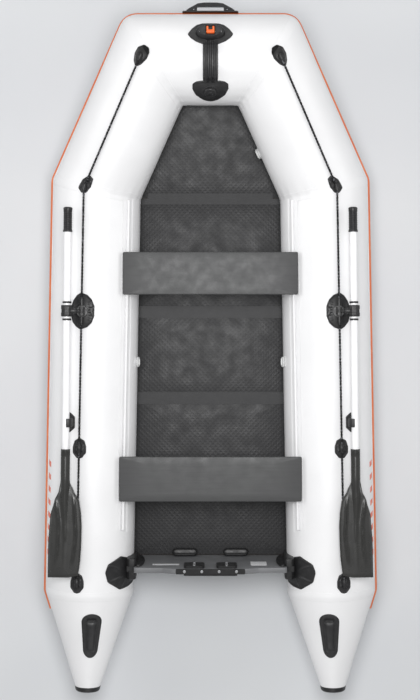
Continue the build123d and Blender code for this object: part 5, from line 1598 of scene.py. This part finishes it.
class DinghySizes(bpy.types.PropertyGroup):
    """Sizes that a maker would change."""

    tape_width: bpy.props.FloatProperty(name="Seam tape", description="Width of the bands glued over the tubes' joints",
                                        default=0.044, min=0.02, max=0.08, unit="LENGTH")
    strake_height: bpy.props.FloatProperty(name="Strake height", description="Height of the rubbing strake",
                                           default=0.070, min=0.04, max=0.1, unit="LENGTH")
    strake_depth: bpy.props.FloatProperty(name="Strake depth", description="How far the strake stands off the tube",
                                          default=0.014, min=0.005, max=0.014, unit="LENGTH")
    rope_width: bpy.props.FloatProperty(name="Lifeline", description="Diameter of the lifeline", default=0.010,
                                        min=0.006, max=0.011, unit="LENGTH")


class DinghyColours(bpy.types.PropertyGroup):
    """Colours that a maker would change."""

    hull: bpy.props.FloatVectorProperty(
        name="Hull", description="Colour of the tubes and their seam tape", subtype="COLOR",
        default=linear(COLOURS["hull"])[:3], min=0.0, max=1.0)
    strake: bpy.props.FloatVectorProperty(
        name="Strake", description="Colour of the rubbing strake", subtype="COLOR",
        default=linear(COLOURS["strake"])[:3], min=0.0, max=1.0)
    boards: bpy.props.FloatVectorProperty(
        name="Floor boards", description="Colour of the floor boards", subtype="COLOR",
        default=linear(COLOURS["boards"])[:3], min=0.0, max=1.0)
    seats: bpy.props.FloatVectorProperty(
        name="Seats", description="Colour of the benches", subtype="COLOR",
        default=linear(COLOURS["seats"])[:3], min=0.0, max=1.0)
    blades: bpy.props.FloatVectorProperty(
        name="Oar blades", description="Colour of the oars' blades", subtype="COLOR",
        default=linear(COLOURS["blades"])[:3], min=0.0, max=1.0)
    paper: bpy.props.FloatVectorProperty(
        name="Stage", description="Colour of the paper under the boat", subtype="COLOR",
        default=linear(COLOURS["paper"])[:3], min=0.0, max=1.0)


class DINGHY_OT_hull(bpy.types.Operator):
    """Builds the inflated chambers and their seam tapes"""

    bl_idname = "dinghy.hull"
    bl_label = "Hull"

    def execute(self, context):
        sizes = context.scene.dinghy_sizes
        build_chambers(sizes.tape_width / MM)
        return {"FINISHED"}


class DINGHY_OT_cone_caps(bpy.types.Operator):
    """Builds the caps of the tail cones"""

    bl_idname = "dinghy.cone_caps"
    bl_label = "Cone caps"

    def execute(self, context):
        build_cone_caps()
        return {"FINISHED"}


class DINGHY_OT_strake(bpy.types.Operator):
    """Builds the strake round the tubes"""

    bl_idname = "dinghy.strake"
    bl_label = "Rubbing strake"

    def execute(self, context):
        sizes = context.scene.dinghy_sizes
        build_strake(sizes.strake_depth / MM, sizes.strake_height / MM)
        return {"FINISHED"}


class DINGHY_OT_bottom(bpy.types.Operator):
    """Builds the bottom's fabric and the keel tube"""

    bl_idname = "dinghy.bottom"
    bl_label = "Bottom and keel"

    def execute(self, context):
        build_bottom()
        return {"FINISHED"}


class DINGHY_OT_floor(bpy.types.Operator):
    """Builds the floor's boards"""

    bl_idname = "dinghy.floor"
    bl_label = "Floor"

    def execute(self, context):
        build_floor()
        return {"FINISHED"}


class DINGHY_OT_rail_bases(bpy.types.Operator):
    """Builds the strips under the seats' rails"""

    bl_idname = "dinghy.rail_bases"
    bl_label = "Rail bases"

    def execute(self, context):
        build_rail_bases()
        return {"FINISHED"}


class DINGHY_OT_seats(bpy.types.Operator):
    """Builds the two benches"""

    bl_idname = "dinghy.seats"
    bl_label = "Seats"

    def execute(self, context):
        build_seats()
        return {"FINISHED"}


class DINGHY_OT_transom(bpy.types.Operator):
    """Builds the transom and its blank labels"""

    bl_idname = "dinghy.transom"
    bl_label = "Transom"

    def execute(self, context):
        build_transom()
        return {"FINISHED"}


class DINGHY_OT_transom_sockets(bpy.types.Operator):
    """Builds the rubber sockets of the transom"""

    bl_idname = "dinghy.transom_sockets"
    bl_label = "Transom sockets"

    def execute(self, context):
        build_transom_holders()
        return {"FINISHED"}


class DINGHY_OT_floor_blocks(bpy.types.Operator):
    """Builds the blocks that hold the floor down"""

    bl_idname = "dinghy.floor_blocks"
    bl_label = "Floor blocks"

    def execute(self, context):
        build_retainers()
        return {"FINISHED"}


class DINGHY_OT_lifeline(bpy.types.Operator):
    """Builds the braided lifelines"""

    bl_idname = "dinghy.lifeline"
    bl_label = "Lifelines"

    def execute(self, context):
        sizes = context.scene.dinghy_sizes
        build_lifeline(sizes.rope_width / MM / 2)
        return {"FINISHED"}


class DINGHY_OT_eyelets(bpy.types.Operator):
    """Builds the lifelines' eyelets"""

    bl_idname = "dinghy.eyelets"
    bl_label = "Eyelets"

    def execute(self, context):
        build_eyelets()
        return {"FINISHED"}


class DINGHY_OT_rope_lock(bpy.types.Operator):
    """Builds the bow eye with its catch"""

    bl_idname = "dinghy.rope_lock"
    bl_label = "Rope lock"

    def execute(self, context):
        build_rope_lock()
        return {"FINISHED"}


class DINGHY_OT_tow_strap(bpy.types.Operator):
    """Builds the ribbed strap and its patch"""

    bl_idname = "dinghy.tow_strap"
    bl_label = "Tow strap"

    def execute(self, context):
        build_tow_strap()
        return {"FINISHED"}


class DINGHY_OT_oars(bpy.types.Operator):
    """Builds both oars"""

    bl_idname = "dinghy.oars"
    bl_label = "Oars"

    def execute(self, context):
        build_oars()
        return {"FINISHED"}


class DINGHY_OT_oarlocks(bpy.types.Operator):
    """Builds the oarlocks' sockets"""

    bl_idname = "dinghy.oarlocks"
    bl_label = "Oarlocks"

    def execute(self, context):
        build_oarlocks()
        return {"FINISHED"}


class DINGHY_OT_oar_clips(bpy.types.Operator):
    """Builds the clips of the stowed oars"""

    bl_idname = "dinghy.oar_clips"
    bl_label = "Oar clips"

    def execute(self, context):
        build_oar_holders()
        return {"FINISHED"}


class DINGHY_OT_stern_handles(bpy.types.Operator):
    """Builds the grab handles"""

    bl_idname = "dinghy.stern_handles"
    bl_label = "Stern handles"

    def execute(self, context):
        build_stern_handles()
        return {"FINISHED"}


class DINGHY_OT_valves(bpy.types.Operator):
    """Builds the inflation valves"""

    bl_idname = "dinghy.valves"
    bl_label = "Valves"

    def execute(self, context):
        build_valves()
        return {"FINISHED"}


class DINGHY_OT_graphics(bpy.types.Operator):
    """Builds the printed bars"""

    bl_idname = "dinghy.graphics"
    bl_label = "Side bars"

    def execute(self, context):
        build_side_graphics()
        return {"FINISHED"}


class DINGHY_OT_kept_parts(bpy.types.Operator):
    """Gives the remaining parts their finishes"""

    bl_idname = "dinghy.kept_parts"
    bl_label = "Other parts"

    def execute(self, context):
        build_kept()
        return {"FINISHED"}


class DINGHY_OT_stage(bpy.types.Operator):
    """Builds the floor, the lights and the camera"""

    bl_idname = "dinghy.stage"
    bl_label = "Stage"

    def execute(self, context):
        build_stage()
        return {"FINISHED"}


OPERATORS = (
    DINGHY_OT_hull,
    DINGHY_OT_cone_caps,
    DINGHY_OT_strake,
    DINGHY_OT_bottom,
    DINGHY_OT_floor,
    DINGHY_OT_rail_bases,
    DINGHY_OT_seats,
    DINGHY_OT_transom,
    DINGHY_OT_transom_sockets,
    DINGHY_OT_floor_blocks,
    DINGHY_OT_lifeline,
    DINGHY_OT_eyelets,
    DINGHY_OT_rope_lock,
    DINGHY_OT_tow_strap,
    DINGHY_OT_oars,
    DINGHY_OT_oarlocks,
    DINGHY_OT_oar_clips,
    DINGHY_OT_stern_handles,
    DINGHY_OT_valves,
    DINGHY_OT_graphics,
    DINGHY_OT_kept_parts,
    DINGHY_OT_stage,
)


class DINGHY_PT_panel(bpy.types.Panel):
    """Lists the dinghy's pieces and its sizes."""

    bl_label = "Inflatable dinghy"
    bl_idname = "DINGHY_PT_panel"
    bl_space_type = "VIEW_3D"
    bl_region_type = "UI"
    bl_category = "Dinghy"

    def draw(self, context):
        for group in (context.scene.dinghy_sizes, context.scene.dinghy_colours):
            for name in group.__annotations__:
                self.layout.prop(group, name)
        for kind in OPERATORS:
            self.layout.operator(kind.bl_idname)


CLASSES = (DinghySizes, DinghyColours) + OPERATORS + (DINGHY_PT_panel,)


def register():
    for kind in CLASSES:
        bpy.utils.register_class(kind)
    bpy.types.Scene.dinghy_sizes = bpy.props.PointerProperty(type=DinghySizes)
    bpy.types.Scene.dinghy_colours = bpy.props.PointerProperty(type=DinghyColours)


def unregister():
    del bpy.types.Scene.dinghy_colours
    del bpy.types.Scene.dinghy_sizes
    for kind in reversed(CLASSES):
        bpy.utils.unregister_class(kind)


def main():
    register()
    for kind in OPERATORS:
        group, name = kind.bl_idname.split(".")
        getattr(getattr(bpy.ops, group), name)()


if __name__ == "__main__":
    main()
